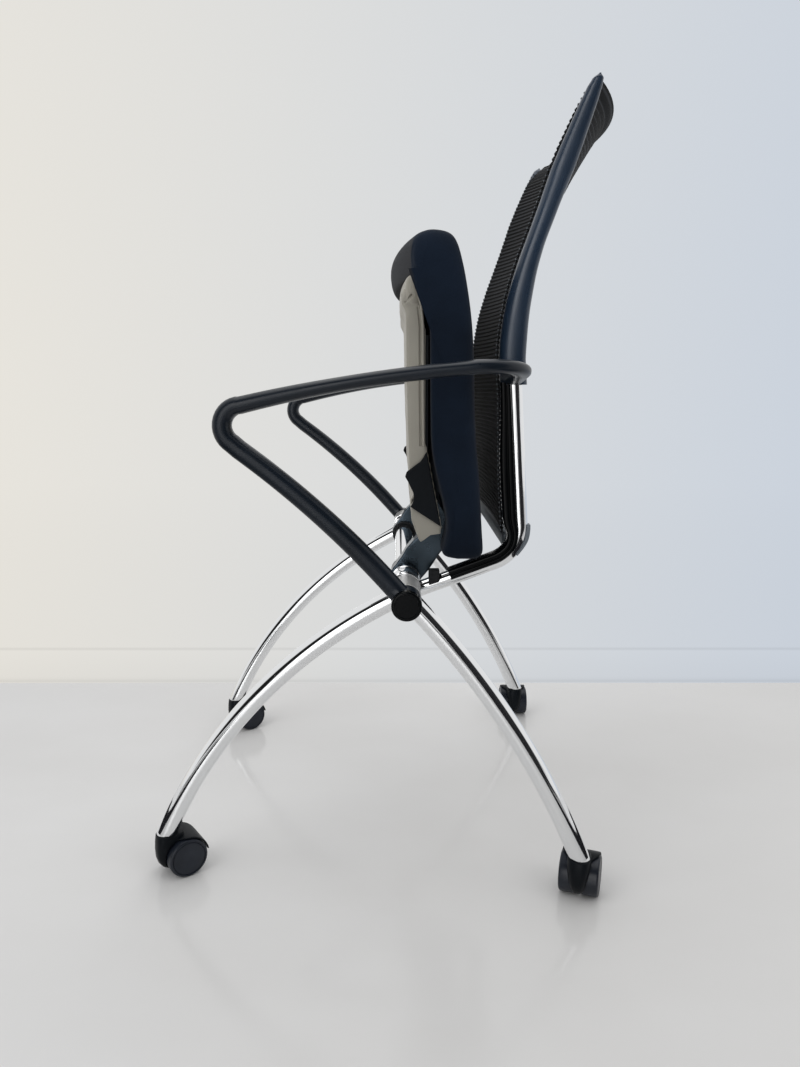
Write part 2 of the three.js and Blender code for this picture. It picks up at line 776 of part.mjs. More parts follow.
function seatShell() {
  const outer = slab(shellOutline(0, 0), -shellHalfWidth, shellHalfWidth);
  const half = shellHalfWidth - shellWall;
  const raised = slab(shellOutline(shellWall, shellWall), -half, half);
  const lowered = slab(shellOutline(shellWall, -shellWall), -half, half);
  const top = shellBottom + shellLength * shellCrestShare;
  const block = roundedBlock(shellHalfWidth, shellBottom, top, shellRearCorner, shellCorner);
  const room = roundedBlock(
    half, shellBottom + shellWall, top - shellWall, shellRearCorner - shellWall, shellCorner - shellWall,
  );
  const hollow = cut(common(common(raised, lowered), room), saddleBar(saddleRadius + shellWall));
  return cut(common(outer, block), hollow, saddleBar(saddleRadius), ...pockets());
}

function seatBoard() {
  const half = shellHalfWidth - shellWall - gap;
  const board = new THREE.BoxGeometry(2 * half, boardThick, boardTop - boardBottom);
  const setback = cushionFront - gap - boardThick / 2;
  board.translate(0, hubSetback + setback, (boardTop + boardBottom) / 2);
  return board;
}

const cushionOutlineShares = [
  [0.21, 0.013], [0.32, 0.106], [0.17, 0.228], [0.023, 0.352], [0.005, 0.505], [0, 0.624], [0, 0.712],
  [-0.045, 0.772], [-0.106, 0.829], [-0.235, 0.857], [-0.379, 0.878], [-0.479, 0.863], [-0.545, 0.834],
  [-0.682, 0.894], [-0.705, 0.922], [-0.636, 0.961], [-0.409, 0.99], [-0.121, 1], [0.136, 0.997],
  [0.364, 0.979], [0.5, 0.93], [0.606, 0.873], [0.682, 0.801], [0.72, 0.744], [0.742, 0.655],
  [0.758, 0.505], [0.803, 0.383], [0.871, 0.29], [0.909, 0.228], [0.955, 0.132], [1.008, 0.052],
  [1.015, 0.017], [0.879, 0.003], [0.621, 0], [0.47, 0],
];
const cushionSpineShares = [
  [0.65, 0.054], [0.5, 0.26], [0.38, 0.505], [0.35, 0.728], [0.2, 0.896], [-0.26, 0.93], [-0.5, 0.904],
];
const sideDrawShare = 0.25;
const sideDrawPower = 8;
const cushionStationShares = [-1, -0.975, -0.93, -0.82, -0.5, 0, 0.5, 0.82, 0.93, 0.975, 1];

function arcInset(radius, x) {
  const past = Math.max(0, Math.abs(x) - (cushionHalfWidth - radius));
  return radius - Math.sqrt(Math.max(0, radius ** 2 - past ** 2));
}

function nearestOn(line, point) {
  let best = line[0];
  for (let i = 0; i < line.length - 1; i += 1) {
    const run = new THREE.Line3(line[i], line[i + 1]);
    const near = run.closestPointToPoint(point, true, new THREE.Vector3());
    if (near.distanceTo(point) < best.distanceTo(point)) best = near;
  }
  return best;
}

// Boxed cushion with a crown, rounded edges, rounded corners and a waterfall front
function seatCushion() {
  const length = cushionLength;
  const toPoint = ([u, v]) => {
    return place(0, cushionFront + u * cushionDepth, cushionBottom + v * length);
  };
  const spine = cushionSpineShares.map(toPoint);
  const rings = cushionStationShares.map((station) => {
    const x = station * cushionHalfWidth;
    const drawn = cushionEdge * sideDrawShare * station ** sideDrawPower;
    const inset = arcInset(cushionEdge, x) + drawn;
    return cushionOutlineShares.map(([u, v]) => {
      const point = toPoint([u, v]);
      const inward = nearestOn(spine, point).clone().sub(point);
      point.addScaledVector(inward, Math.min(1, inset / inward.length()));
      const rear = smooth(u, 0.45, 0.7);
      point.y += cushionCrown * (1 - station ** 2) * Math.sin(Math.PI * v) * rear;
      point.z -= arcInset(cushionFrontCorner, x) * smooth(v, 0.6, 0.85);
      point.z += arcInset(cushionRearCorner, x) * (1 - smooth(v, 0.03, 0.25));
      point.x = x;
      return point;
    });
  });
  return cut(loft(rings), ...pockets());
}

const coverOutlineShares = [
  [0.75, 0.369], [0.025, 0.329], [-0.05, 0.311], [0.125, 0.289], [0.31, 0.258], [0.29, 0.231],
  [0.08, 0.203], [1.8, 0.12], [1.05, 0.406],
];

function sideCover() {
  const outline = coverOutlineShares.map(([u, v]) => flat(u * shellDepth, shellBottom + v * shellLength));
  const cover = slab(outline, shellHalfWidth + gap, shellHalfWidth + gap + coverThick);
  return cut(cover, saddleBar(notchRadius));
}

// Fork: two cheeks beside the gooseneck on a base plate under the board
const cheekOutlineShares = [
  [-0.72, 2.2], [-0.604, 2.2], [-0.604, 1.24], [-0.5, 1.17], [0.14, 0.1], [-0.14, -0.1], [-0.37, 0.41],
  [-0.6, 0.85], [-0.72, 1.12],
];

function seatFork() {
  const size = pivotRise;
  const outline = cheekOutlineShares.map(([u, v]) => {
    return flat(pivotSetback + u * size, pivotHeight + v * size);
  });
  const bars = [cheekInner, cheekOuter - cheekThick].flatMap((from) => [
    slab(outline, from, from + cheekThick),
    bar(bossRadius, from, from + cheekThick, pivotSetback, pivotHeight),
  ]);
  const base = new THREE.BoxGeometry(cheekOuter - cheekInner, forkBase, forkHigh - forkLow);
  const setback = cushionFront - 2 * gap - boardThick - forkBase / 2;
  base.translate((cheekInner + cheekOuter) / 2, hubSetback + setback, (forkHigh + forkLow) / 2);
  const boardSide = slab([
    flat(setback + forkBase / 2, forkLow - overrun), flat(cushionDepth, forkLow - overrun),
    flat(cushionDepth, forkHigh + overrun), flat(setback + forkBase / 2, forkHigh + overrun),
  ], cheekInner - overrun, cheekOuter + overrun);
  const from = cheekInner - overrun;
  const pinBore = bar(pinRadius + gap, from, cheekOuter + overrun, pivotSetback, pivotHeight);
  return cut(join(base, ...bars), boardSide, pinBore);
}

// Casters, each about its stem, with the axle trailing along +X before it is turned
const hoodTop = legEndHeight - gap;
const fenderRadius = wheelRadius + fenderGap + fenderThick;
const hoodOutlineShares = [[0.51, 1], [-0.51, 1], [-0.64, 0.87], [-0.67, 0.38], [-0.47, 0.19], [0, 0.1]];
const webOutlineShares = [[0.55, 0.14], [1.06, 0.35], [1.7, 0.46]];
const hoodPlanShares = [[-1, 0.25], [-0.88, 0.62], [-0.6, 0.88], [-0.2, 1], [3, 1]];

function flatSlab(outline, halfWidth) {
  const shape = new THREE.Shape(outline);
  const slabShape = new THREE.ExtrudeGeometry(shape, { depth: 2 * halfWidth, bevelEnabled: false });
  return slabShape.rotateX(Math.PI / 2).translate(0, halfWidth, 0);
}

function axial(radius, from, to, segments = 24) {
  const geometry = new THREE.CylinderGeometry(radius, radius, to - from, segments);
  return geometry.translate(trail, (from + to) / 2, wheelRadius);
}

function casterHood() {
  const fender = count(9).map((i) => {
    const angle = THREE.MathUtils.degToRad(mix(fenderFrom, fenderTo, i / 8));
    return flat(trail + fenderRadius * Math.cos(angle), wheelRadius + fenderRadius * Math.sin(angle));
  });
  const front = hoodOutlineShares.map(([u, v]) => flat(u * wheelRadius, v * hoodTop));
  const web = webOutlineShares.map(([u, v]) => flat(u * wheelRadius, v * hoodTop));
  const body = flatSlab([...fender, ...front, ...web], hoodHalfWidth);
  const planLeft = hoodPlanShares.map(([u, v]) => flat(u * skirtReach, v * hoodHalfWidth));
  const planRight = hoodPlanShares.map(([u, v]) => flat(u * skirtReach, -v * hoodHalfWidth)).reverse();
  const plan = new THREE.Shape([...planLeft, ...planRight]);
  const column = new THREE.ExtrudeGeometry(plan, { depth: hoodTop + overrun, bevelEnabled: false });
  const wells = [1, -1].map((sign) => {
    const [from, to] = [webHalf, casterHalfWidth + overrun];
    return axial(wheelRadius + fenderGap, sign > 0 ? from : -to, sign > 0 ? to : -from, 20);
  });
  const stemBore = new THREE.CylinderGeometry(stemRadius + gap, stemRadius + gap, 2 * stemInHood, 16);
  stemBore.rotateX(Math.PI / 2).translate(0, 0, hoodTop + gap);
  const axleBore = axial(axleRadius + gap, -casterHalfWidth, casterHalfWidth, 12);
  return cut(common(body, column), ...wells, stemBore, axleBore);
}

function casterStem() {
  const length = stemInLeg + stemInHood - gap;
  const stem = new THREE.CylinderGeometry(stemRadius, stemRadius, length, 16);
  return stem.rotateX(Math.PI / 2).translate(0, 0, legEndHeight + stemInLeg - length / 2);
}

const axleHalf = casterHalfWidth - axleCover - gap;

function casterWheel(sign) {
  const bore = axleRadius + gap;
  const inner = webHalf + gap;
  const outer = casterHalfWidth;
  const step = axleCover / 2;
  const profile = [
    [0, outer - axleCover], [bore, outer - axleCover], [bore, inner], [wheelRadius - step, inner],
    [wheelRadius, inner + step], [wheelRadius, outer - axleCover], [wheelRadius * wheelFaceShare, outer],
    [wheelRadius * wheelDishShare, outer - step], [0, outer - step],
  ];
  const wheel = new THREE.LatheGeometry(profile.map(([r, y]) => new THREE.Vector2(r, y)), 16);
  wheel.scale(1, sign, 1).translate(trail, 0, wheelRadius);
  return closed(wheel);
}

function addCaster(name, x, setback, heading) {
  const caster = new THREE.Group();
  caster.position.set(x, hubSetback + setback, 0);
  caster.rotation.z = THREE.MathUtils.degToRad(heading);
  add(`caster_${name}_stem`, closed(casterStem()), darkSteel, caster);
  add(`caster_${name}_hood`, casterHood(), mattBlack, caster);
  add(`caster_${name}_axle`, closed(axial(axleRadius, -axleHalf, axleHalf, 12)), darkSteel, caster);
  add(`caster_${name}_wheel_a`, casterWheel(1), rubberBlack, caster);
  add(`caster_${name}_wheel_b`, casterWheel(-1), rubberBlack, caster);
  chair.add(caster);
}

add('cross_tube', crossTube(), chrome);
addPair('bracket_bush', ringOnHub(bushStart, bracketStart - gap, bushRadius), rubberBlack);
addPair('seat_bracket', bracket(), darkSteel);
addPair('frame_collar', frameCollar(), chrome);
addPair('hub_sleeve', ringOnHub(sleeveStart, sleeveStart + sleeveWidth, collarRadius), satinGrey);
addPair('hub_cap', hubCap(), glossBlack);
addPair('front_leg', leg(frontHubX, frontFootX, -frontReach, frontDrop, -frontBow), chrome);
addPair('rear_leg', leg(rearHubX, rearFootX, rearReach, rearDrop, rearBow), chrome);
addPair('armrest', arm(), mattBlack);
addPair('back_tube', jTube(), chrome);
addPair('back_channel', frameBand(), glossBlack);
addPair('back_rail', sideRail(), mattBlack);
addPair('rear_pad', rearPad(), padGrey);
addPair('seat_stop', stopPad(), rubberBlack);
add('back_bottom_rail', closed(bottomRail()), padGrey);
add('back_mesh', meshBack(), meshBlack);
addPair('pivot_pin', pivotPin(), darkSteel);
addPair('seat_fork', seatFork(), darkSteel);
add('seat_shell', seatShell(), shellGrey);
add('seat_board', closed(seatBoard()), mattBlack);
add('seat_cushion', seatCushion(), fabricNavy);
addPair('side_cover', sideCover(), mattBlack);

// Headings of the casters from their stems, turned from +X
addCaster('front_left', frontFootX, -frontReach, 126);
addCaster('rear_left', rearFootX, rearReach, 160);
addCaster('front_right', -frontFootX, -frontReach, 127);
addCaster('rear_right', -rearFootX, rearReach, 180);

export default chair;
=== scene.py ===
"""Dresses a nesting chair: bowed chromed legs, looped arms, a ribbed back, a flip-up seat and casters.

Metres, +Z up, -Y is the front, +X is the sitter's left. Setbacks are measured from the hub axis.
"""
import math

import bmesh
import bpy
from bpy.props import FloatProperty, FloatVectorProperty, IntProperty, PointerProperty
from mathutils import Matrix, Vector
from mathutils.kdtree import KDTree


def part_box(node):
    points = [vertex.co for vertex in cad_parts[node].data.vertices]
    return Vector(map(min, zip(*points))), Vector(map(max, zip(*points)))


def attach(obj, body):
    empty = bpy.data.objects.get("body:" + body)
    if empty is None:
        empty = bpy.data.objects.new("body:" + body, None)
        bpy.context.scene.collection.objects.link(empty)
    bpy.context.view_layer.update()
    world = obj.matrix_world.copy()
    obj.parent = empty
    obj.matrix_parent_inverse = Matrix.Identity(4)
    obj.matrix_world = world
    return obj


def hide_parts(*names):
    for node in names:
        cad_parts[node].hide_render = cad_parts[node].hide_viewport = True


bl_info = {
    "name": "Nesting chair",
    "version": (1, 0, 0),
    "blender": (4, 5, 0),
    "location": "View3D > Sidebar > Chair",
    "description": "Adds the finished surfaces of a nesting chair around its frame",
    "category": "Add Mesh",
}

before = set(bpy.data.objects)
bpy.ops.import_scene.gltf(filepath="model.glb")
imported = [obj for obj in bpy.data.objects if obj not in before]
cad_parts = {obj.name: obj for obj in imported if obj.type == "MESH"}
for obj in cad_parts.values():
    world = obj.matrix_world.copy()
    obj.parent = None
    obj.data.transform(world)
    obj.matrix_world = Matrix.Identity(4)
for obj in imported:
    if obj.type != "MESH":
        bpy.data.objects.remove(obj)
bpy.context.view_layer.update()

SIDES = (("left", 1), ("right", -1))
CASTERS = ("front_left", "rear_left", "front_right", "rear_right")
X_AXIS = Vector((1, 0, 0))
Y_AXIS = Vector((0, 1, 0))
Z_AXIS = Vector((0, 0, 1))


def middle(node):
    """The middle of a node's box."""
    low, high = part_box(node)
    return (low + high) / 2


def across(node):
    """How far a node reaches along X, from low to high."""
    low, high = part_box(node)
    return low.x, high.x


def half_height(node):
    low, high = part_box(node)
    return (high.z - low.z) / 2


HUB = middle("cross_tube")
PIVOT = middle("pivot_pin_left")
UPRIGHT_X = middle("back_tube_left").x
CUSHION_LOW, CUSHION_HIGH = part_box("seat_cushion")
SHELL_LOW, SHELL_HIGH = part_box("seat_shell")
RAIL_LOW, RAIL_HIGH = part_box("back_rail_left")
MESH_LOW, MESH_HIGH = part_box("back_mesh")


class ChairFrameSizes(bpy.types.PropertyGroup):
    """Sizes of the chromed frame and the arms."""

    leg_radius: FloatProperty(
        name="Leg radius", description="Radius of a leg's tube", default=0.0125, unit="LENGTH"
    )
    leg_foot: FloatProperty(
        name="Leg foot", description="Height at which a leg is cut level", default=0.058, unit="LENGTH"
    )
    front_drop: FloatProperty(
        name="Front drop", description="A front leg's start below the hub", default=0.008, unit="LENGTH"
    )
    front_bow: FloatProperty(
        name="Front bow", description="Rise of a front leg's arc", default=0.041, unit="LENGTH"
    )
    rear_drop: FloatProperty(
        name="Rear drop", description="A rear leg's start below the hub", default=0.0015, unit="LENGTH"
    )
    rear_bow: FloatProperty(
        name="Rear bow", description="Rise of a rear leg's arc", default=0.0185, unit="LENGTH"
    )
    upright_radius: FloatProperty(
        name="Upright radius", description="Radius of a back tube", default=0.010, unit="LENGTH"
    )
    upright_bend: FloatProperty(
        name="Upright bend", description="Radius of a back tube's bend", default=0.048, unit="LENGTH"
    )
    elbow_radius: FloatProperty(
        name="Elbow radius", description="Bend where the stay meets the rest", default=0.023, unit="LENGTH"
    )
    wrist_radius: FloatProperty(
        name="Wrist radius", description="Bend where the rest turns in", default=0.052, unit="LENGTH"
    )


class ChairBackSizes(bpy.types.PropertyGroup):
    """Sizes of the ribbed back."""

    ribs: IntProperty(name="Ribs", description="Number of level ribs", default=90, min=20, max=200)
    rib_depth: FloatProperty(
        name="Rib depth", description="Depth from crest to valley", default=0.0013, unit="LENGTH"
    )
    membrane: FloatProperty(
        name="Membrane", description="Thickness of the ribbed net", default=0.0022, unit="LENGTH"
    )
    bead_radius: FloatProperty(
        name="Bead radius", description="Size of the bump that ends a rib", default=0.0013, unit="LENGTH"
    )


class ChairSeatSizes(bpy.types.PropertyGroup):
    """Sizes of the padded seat."""

    corner: FloatProperty(
        name="Front corner", description="Plan radius of a front corner", default=0.020, unit="LENGTH"
    )
    rear_corner: FloatProperty(
        name="Rear corner", description="Plan radius of a rear corner", default=0.008, unit="LENGTH"
    )
    edge: FloatProperty(
        name="Edge", description="Rounding of the cushion's edges", default=0.013, unit="LENGTH"
    )
    seam_depth: FloatProperty(
        name="Seam depth", description="How far a seam is drawn in", default=0.0016, unit="LENGTH"
    )


class ChairColours(bpy.types.PropertyGroup):
    """Base colours of the finishes."""

    chrome: FloatVectorProperty(
        name="Chrome", description="Polished plating", subtype="COLOR", default=(0.86, 0.87, 0.88)
    )
    satin: FloatVectorProperty(
        name="Satin", description="Satin sleeve", subtype="COLOR", default=(0.56, 0.56, 0.55)
    )
    # The dark blue-grey is painted reflection of a dark room on polished brackets, not the metal's own
    # colour.
    steel: FloatVectorProperty(
        name="Dark steel", description="Glossy dark brackets", subtype="COLOR", default=(0.045, 0.062, 0.078)
    )
    black: FloatVectorProperty(
        name="Black", description="Moulded black parts", subtype="COLOR", default=(0.004, 0.0055, 0.0075)
    )
    gloss: FloatVectorProperty(
        name="Gloss black", description="Caps and channels", subtype="COLOR", default=(0.002, 0.0025, 0.003)
    )
    shell: FloatVectorProperty(
        name="Shell", description="Seat pan", subtype="COLOR", default=(0.36, 0.34, 0.29)
    )
    fabric: FloatVectorProperty(
        name="Fabric", description="Cushion cover", subtype="COLOR", default=(0.006, 0.011, 0.021)
    )
    rib: FloatVectorProperty(
        name="Rib", description="Crest of a rib", subtype="COLOR", default=(0.030, 0.032, 0.037)
    )
    # The front panel colour is the fabric lightened with painted light, where the cover turns to face the
    # light.
    panel: FloatVectorProperty(
        name="Front panel", description="Cushion cover ahead of the seam", subtype="COLOR",
        default=(0.024, 0.026, 0.031),
    )
    rail: FloatVectorProperty(
        name="Rail", description="Side rails and arms", subtype="COLOR", default=(0.016, 0.030, 0.054)
    )
    pad: FloatVectorProperty(
        name="Pad", description="Grey rubber pads", subtype="COLOR", default=(0.14, 0.16, 0.18)
    )
    tyre: FloatVectorProperty(
        name="Wheel", description="Caster wheels", subtype="COLOR", default=(0.010, 0.013, 0.020)
    )


def settings():
    scene = bpy.context.scene
    return scene.chair_frame, scene.chair_back, scene.chair_seat, scene.chair_colours


# Lines and arcs
def spot(x, setback, height):
    return Vector((x, HUB.y + setback, height))


def mix(low, high, share):
    return low + (high - low) * share


def smooth(value, low, high):
    share = min(1.0, max(0.0, (value - low) / (high - low)))
    return share * share * (3 - 2 * share)


def interpolate(shares, values, share):
    for i in range(len(shares) - 1):
        if share <= shares[i + 1]:
            along = (share - shares[i]) / (shares[i + 1] - shares[i])
            return mix(values[i], values[i + 1], smooth(along, 0, 1) * 0.5 + along * 0.5)
    return values[-1]


def arc(start, end, rise, steps):
    """An upright arc of points between two places, bowed by a rise."""
    chord = Vector((0, end.y - start.y, end.z - start.z))
    half = chord.length / 2
    radius = (half * half + rise * rise) / (2 * rise)
    along = chord.normalized()
    side = Vector((0, -along.z, along.y))
    centre = (start + end) / 2 + side * (rise - radius)
    sweep_angle = math.asin(half / radius)
    points = []
    for i in range(steps + 1):
        angle = sweep_angle * (2 * i / steps - 1)
        point = centre + side * radius * math.cos(angle) + along * radius * math.sin(angle)
        point.x = mix(start.x, end.x, i / steps)
        points.append(point)
    return points


def fillet(before, corner, after, radius, steps):
    """The arc that rounds a corner, and how far it reaches from the corner."""
    a = (before - corner).normalized()
    b = (after - corner).normalized()
    half_angle = a.angle(b) / 2
    reach = radius / math.tan(half_angle)
    weight = math.sin(half_angle)
    points = []
    for i in range(steps + 1):
        t = i / steps
        p, q, r = (1 - t) ** 2, 2 * weight * t * (1 - t), t**2
        blended = (corner + a * reach) * p + corner * q + (corner + b * reach) * r
        points.append(blended / (p + q + r))
    return points, reach


def rounded_path(runs, radii, steps):
    """Runs of points joined with rounded corners."""
    path = list(runs[0])
    clear_share = 1.06
    for run, radius in zip(runs[1:], radii):
        corner = run[0]
        bend, reach = fillet(path[-2], corner, run[1], radius, steps)
        kept = [p for p in path if (p - corner).length > reach * clear_share]
        rest = [p for p in run if (p - corner).length > reach * clear_share]
        path = kept + bend + rest
    return path


def closed_curve(points, steps):
    """A smooth closed line through points."""
    count = len(points)
    line = []
    for i in range(count):
        a, b, c, d = (points[(i + k) % count] for k in (-1, 0, 1, 2))
        for k in range(steps):
            t = k / steps
            square, cube = a * 2 - b * 5 + c * 4 - d, b * 3 - a - c * 3 + d
            line.append((b * 2 + (c - a) * t + square * t**2 + cube * t**3) / 2)
    return line


# Modelling
def deselect_all():
    if bpy.context.object and bpy.context.object.mode != "OBJECT":
        bpy.ops.object.mode_set(mode="OBJECT")
    bpy.ops.object.select_all(action="DESELECT")


def pick(piece):
    deselect_all()
    piece.select_set(True)
    bpy.context.view_layer.objects.active = piece


def close_mesh(piece, distance=0.00002):
    """Merges doubles and turns the faces outwards."""
    pick(piece)
    bpy.ops.object.mode_set(mode="EDIT")
    bpy.ops.mesh.select_all(action="SELECT")
    bpy.ops.mesh.remove_doubles(threshold=distance)
    bpy.ops.mesh.normals_make_consistent(inside=False)
    bpy.ops.object.mode_set(mode="OBJECT")


def settle(piece):
    """Puts a piece's place into its mesh."""
    pick(piece)
    bpy.ops.object.transform_apply(location=True, rotation=True, scale=True)
    return piece


def ringed(points, filled):
    """A circle whose points are moved to an outline, left in edit mode."""
    deselect_all()
    fill = "NGON" if filled else "NOTHING"
    bpy.ops.mesh.primitive_circle_add(vertices=len(points), fill_type=fill, enter_editmode=True)
    piece = bpy.context.object
    mesh = bmesh.from_edit_mesh(piece.data)
    mesh.verts.ensure_lookup_table()
    for vertex, point in zip(mesh.verts, points):
        vertex.co = point
    bmesh.update_edit_mesh(piece.data)
    return piece


def swept(rings):
    """A closed bar, extruded from ring to ring."""
    piece = ringed(rings[0], True)
    for before, ring in zip(rings, rings[1:]):
        bpy.ops.mesh.extrude_region_move()
        places = KDTree(len(before))
        for k, point in enumerate(before):
            places.insert(point, k)
        places.balance()
        mesh = bmesh.from_edit_mesh(piece.data)
        for vertex in mesh.verts:
            if vertex.select:
                vertex.co = ring[places.find(vertex.co)[1]]
        bmesh.update_edit_mesh(piece.data)
    bpy.ops.object.mode_set(mode="OBJECT")
    close_mesh(piece)
    return piece


def turned(profile, centre, axis, steps):
    """A piece turned about an axis, from places along the axis and radii."""
    piece = ringed([centre + axis * along + Z_AXIS * radius for along, radius in profile], False)
    bpy.ops.mesh.select_all(action="SELECT")
    bpy.ops.mesh.spin(steps=steps, angle=2 * math.pi, center=centre, axis=axis, use_auto_merge=True)
    bpy.ops.object.mode_set(mode="OBJECT")
    close_mesh(piece)
    return piece


def turned_on_hub(profile):
    """A piece turned about the hub's axis, from places along X and radii."""
    return turned(profile, Vector((0, HUB.y, HUB.z)), X_AXIS, 64)


def quarter_round(end, radius, size, sign=1):
    """Points that round the edge of a turned profile at one of its ends."""
    angles = [math.pi / 2 * k / 6 for k in range(7)][::sign]
    return [(end - sign * size * (1 - math.sin(a)), radius - size * (1 - math.cos(a))) for a in angles]


def plate(outline, thickness):
    """An outline of points extruded along X."""
    piece = ringed(outline, True)
    bpy.ops.mesh.extrude_region_move(TRANSFORM_OT_translate={"value": (thickness, 0, 0)})
    bpy.ops.object.mode_set(mode="OBJECT")
    close_mesh(piece)
    return piece


def modify(piece, kind, **values):
    """Adds a modifier, sets it and applies it."""
    pick(piece)
    modifier = piece.modifiers.new(kind.title(), kind)
    for key, value in values.items():
        setattr(modifier, key, value)
    bpy.ops.object.modifier_apply(modifier=modifier.name)
    return piece


def joined(*pieces):
    """One piece made of several."""
    pick(pieces[0])
    for piece in pieces:
        piece.select_set(True)
    bpy.ops.object.join()
    return pieces[0]


def soften_edges(piece, width, segments=3, angle=35):
    limit = {"limit_method": "ANGLE", "angle_limit": math.radians(angle)}
    return modify(piece, "BEVEL", width=width, segments=segments, **limit)


def boolean(piece, other, operation, solver="EXACT"):
    """Joins or cuts with another piece, which is used up."""
    modify(piece, "BOOLEAN", object=other, operation=operation, solver=solver)
    bpy.data.objects.remove(other)
    return piece


def boolean_pair(piece, other, operation):
    """Joins or cuts with another piece on both sides of the chair."""
    return boolean(piece, joined(other, mirrored(other)), operation)


def moulded(node, voxel, passes):
    """A soft-edged copy of a CAD node, as a mould leaves a casting."""
    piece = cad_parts[node].copy()
    piece.data = piece.data.copy()
    piece.parent = None
    for key in list(piece.keys()):
        del piece[key]
    bpy.context.scene.collection.objects.link(piece)
    piece.data.materials.clear()
    close_mesh(piece)
    modify(piece, "REMESH", mode="VOXEL", voxel_size=voxel)
    return modify(piece, "SMOOTH", factor=0.5, iterations=passes)


def section(centre, side, up, half_width, half_height, points=32, power=2.0):
    """A rounded section, square to a path."""
    ring = []
    for k in range(points):
        angle = 2 * math.pi * k / points
        c, s = math.cos(angle), math.sin(angle)
        u = math.copysign(abs(c) ** (2 / power), c) * half_width
        v = math.copysign(abs(s) ** (2 / power), s) * half_height
        ring.append(centre + side * u + up * v)
    return ring


def headings(path):
    """The direction of a path at each of its points."""
    last = len(path) - 1
    return [(path[min(last, i + 1)] - path[max(0, i - 1)]).normalized() for i in range(len(path))]


def tube(path, radius, points=40):
    """A round tube along a path that lies near an upright plane."""
    rings = []
    for point, heading in zip(path, headings(path)):
        side = (X_AXIS - heading * heading.x).normalized()
        rings.append(section(point, side, heading.cross(side), radius, radius, points))
    return swept(rings)


def finished(piece, name, slot, body, nodes=(), angle=40, material=None):
    """Names and shades a piece, and ties it to the frame."""
    settle(piece)
    piece.name = name
    piece.data.name = name
    piece.data.materials.clear()
    piece.data.materials.append(material or finish(slot))
    bpy.ops.object.shade_smooth_by_angle(angle=math.radians(angle))
    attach(piece, body)
    if nodes:
        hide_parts(*nodes)
    return piece


def mirrored(piece):
    """A copy of a piece on the other side of the chair."""
    pick(piece)
    bpy.ops.object.duplicate()
    copy = bpy.context.object
    bpy.ops.transform.mirror(constraint_axis=(True, False, False), center_override=(0, 0, 0))
    settle(copy)
    close_mesh(copy)
    return copy


def finish_pair(piece, name, slot, node, body="frame", angle=40, material=None):
    """Finishes a left piece and its mirrored right one."""
    for (side, _), own in zip(SIDES, (piece, mirrored(piece))):
        finished(own, f"{name}_{side}", slot, body, [f"{node}_{side}"], angle, material)


# Finishes
def shader_node(tree, kind, inputs=(), **values):
    """Adds a node, sets its values, and links sockets or sets numbers on its inputs."""
    node = tree.nodes.new("ShaderNode" + kind)
    for key, value in values.items():
        setattr(node, key, value)
    for key, value in dict(inputs).items():
        if isinstance(value, bpy.types.NodeSocket):
            tree.links.new(value, node.inputs[key])
        else:
            node.inputs[key].default_value = value
    return node


def math_node(tree, operation, first, second=0.0):
    return shader_node(tree, "Math", {0: first, 1: second}, operation=operation).outputs["Value"]


def map_range(tree, value, from_min, from_max, to_min=0.0, to_max=1.0):
    limits = {"From Min": from_min, "From Max": from_max, "To Min": to_min, "To Max": to_max}
    return shader_node(tree, "MapRange", {"Value": value, **limits}).outputs["Result"]


def colour_ramp(tree, factor, steps):
    """A ramp over pairs of a position and a colour."""
    node = shader_node(tree, "ValToRGB", {"Fac": factor})
    elements = node.color_ramp.elements
    while len(elements) < len(steps):
        elements.new(0.5)
    for element, (position, colour) in zip(elements, steps):
        element.position = position
        element.color = (*colour, 1)
    return node.outputs["Color"]


def grey_ramp(tree, factor, steps):
    return colour_ramp(tree, factor, [(position, (tone, tone, tone)) for position, tone in steps])


def colour_mix(tree, blend_type, factor, first, second):
    inputs = {"Factor": factor, "A": first, "B": second}
    node = shader_node(tree, "Mix", inputs, data_type="RGBA", blend_type=blend_type)
    return node.outputs["Result"]


def shader_mix(tree, factor, first, second):
    return shader_node(tree, "MixShader", {"Fac": factor, 1: first, 2: second}).outputs["Shader"]


def own_place(tree):
    """Coordinates of the piece itself."""
    return shader_node(tree, "TexCoord").outputs["Object"]


def new_material(name, colour, roughness, metallic=0.0, **sockets):
    material = bpy.data.materials.new(name)
    material.use_nodes = True
    values = {"Base_Color": (*colour, 1), "Roughness": roughness, "Metallic": metallic, **sockets}
    for socket, value in values.items():
        shader = material.node_tree.nodes["Principled BSDF"]
        shader.inputs[socket.replace("_", " ")].default_value = value
    return material


def pattern(material, kind, stretch, **inputs):
    """A texture over a piece's own coordinates."""
    tree = material.node_tree
    mapping = shader_node(tree, "Mapping", {"Vector": own_place(tree), "Scale": stretch})
    return shader_node(tree, kind, {"Vector": mapping.outputs["Vector"], **inputs})


def noise(material, scale, detail=4.0, stretch=(1, 1, 1)):
    return pattern(material, "TexNoise", stretch, Scale=scale, Detail=detail).outputs["Fac"]


def cells(material, scale, stretch=(1, 1, 1)):
    return pattern(material, "TexVoronoi", stretch, Scale=scale).outputs["Distance"]


def drive(material, socket, source):
    """Feeds a socket of a material's shader."""
    tree = material.node_tree
    tree.links.new(source, tree.nodes["Principled BSDF"].inputs[socket])


def vary_roughness(material, factor, low, high):
    drive(material, "Roughness", map_range(material.node_tree, factor, 0.3, 0.7, low, high))


def vary_colour(material, factor, colour, dark, light):
    """Darkens and lightens a colour by shares of itself."""
    steps = ((0.3, shade(colour, dark)), (0.7, shade(colour, light)))
    ramp = colour_ramp(material.node_tree, factor, steps)
    drive(material, "Base Color", ramp)
    return ramp


def raise_grain(material, factor, strength, distance):
    inputs = {"Height": factor, "Strength": strength, "Distance": distance}
    drive(material, "Normal", shader_node(material.node_tree, "Bump", inputs).outputs["Normal"])


def shade(colour, share):
    return tuple(min(1.0, channel * share) for channel in colour)


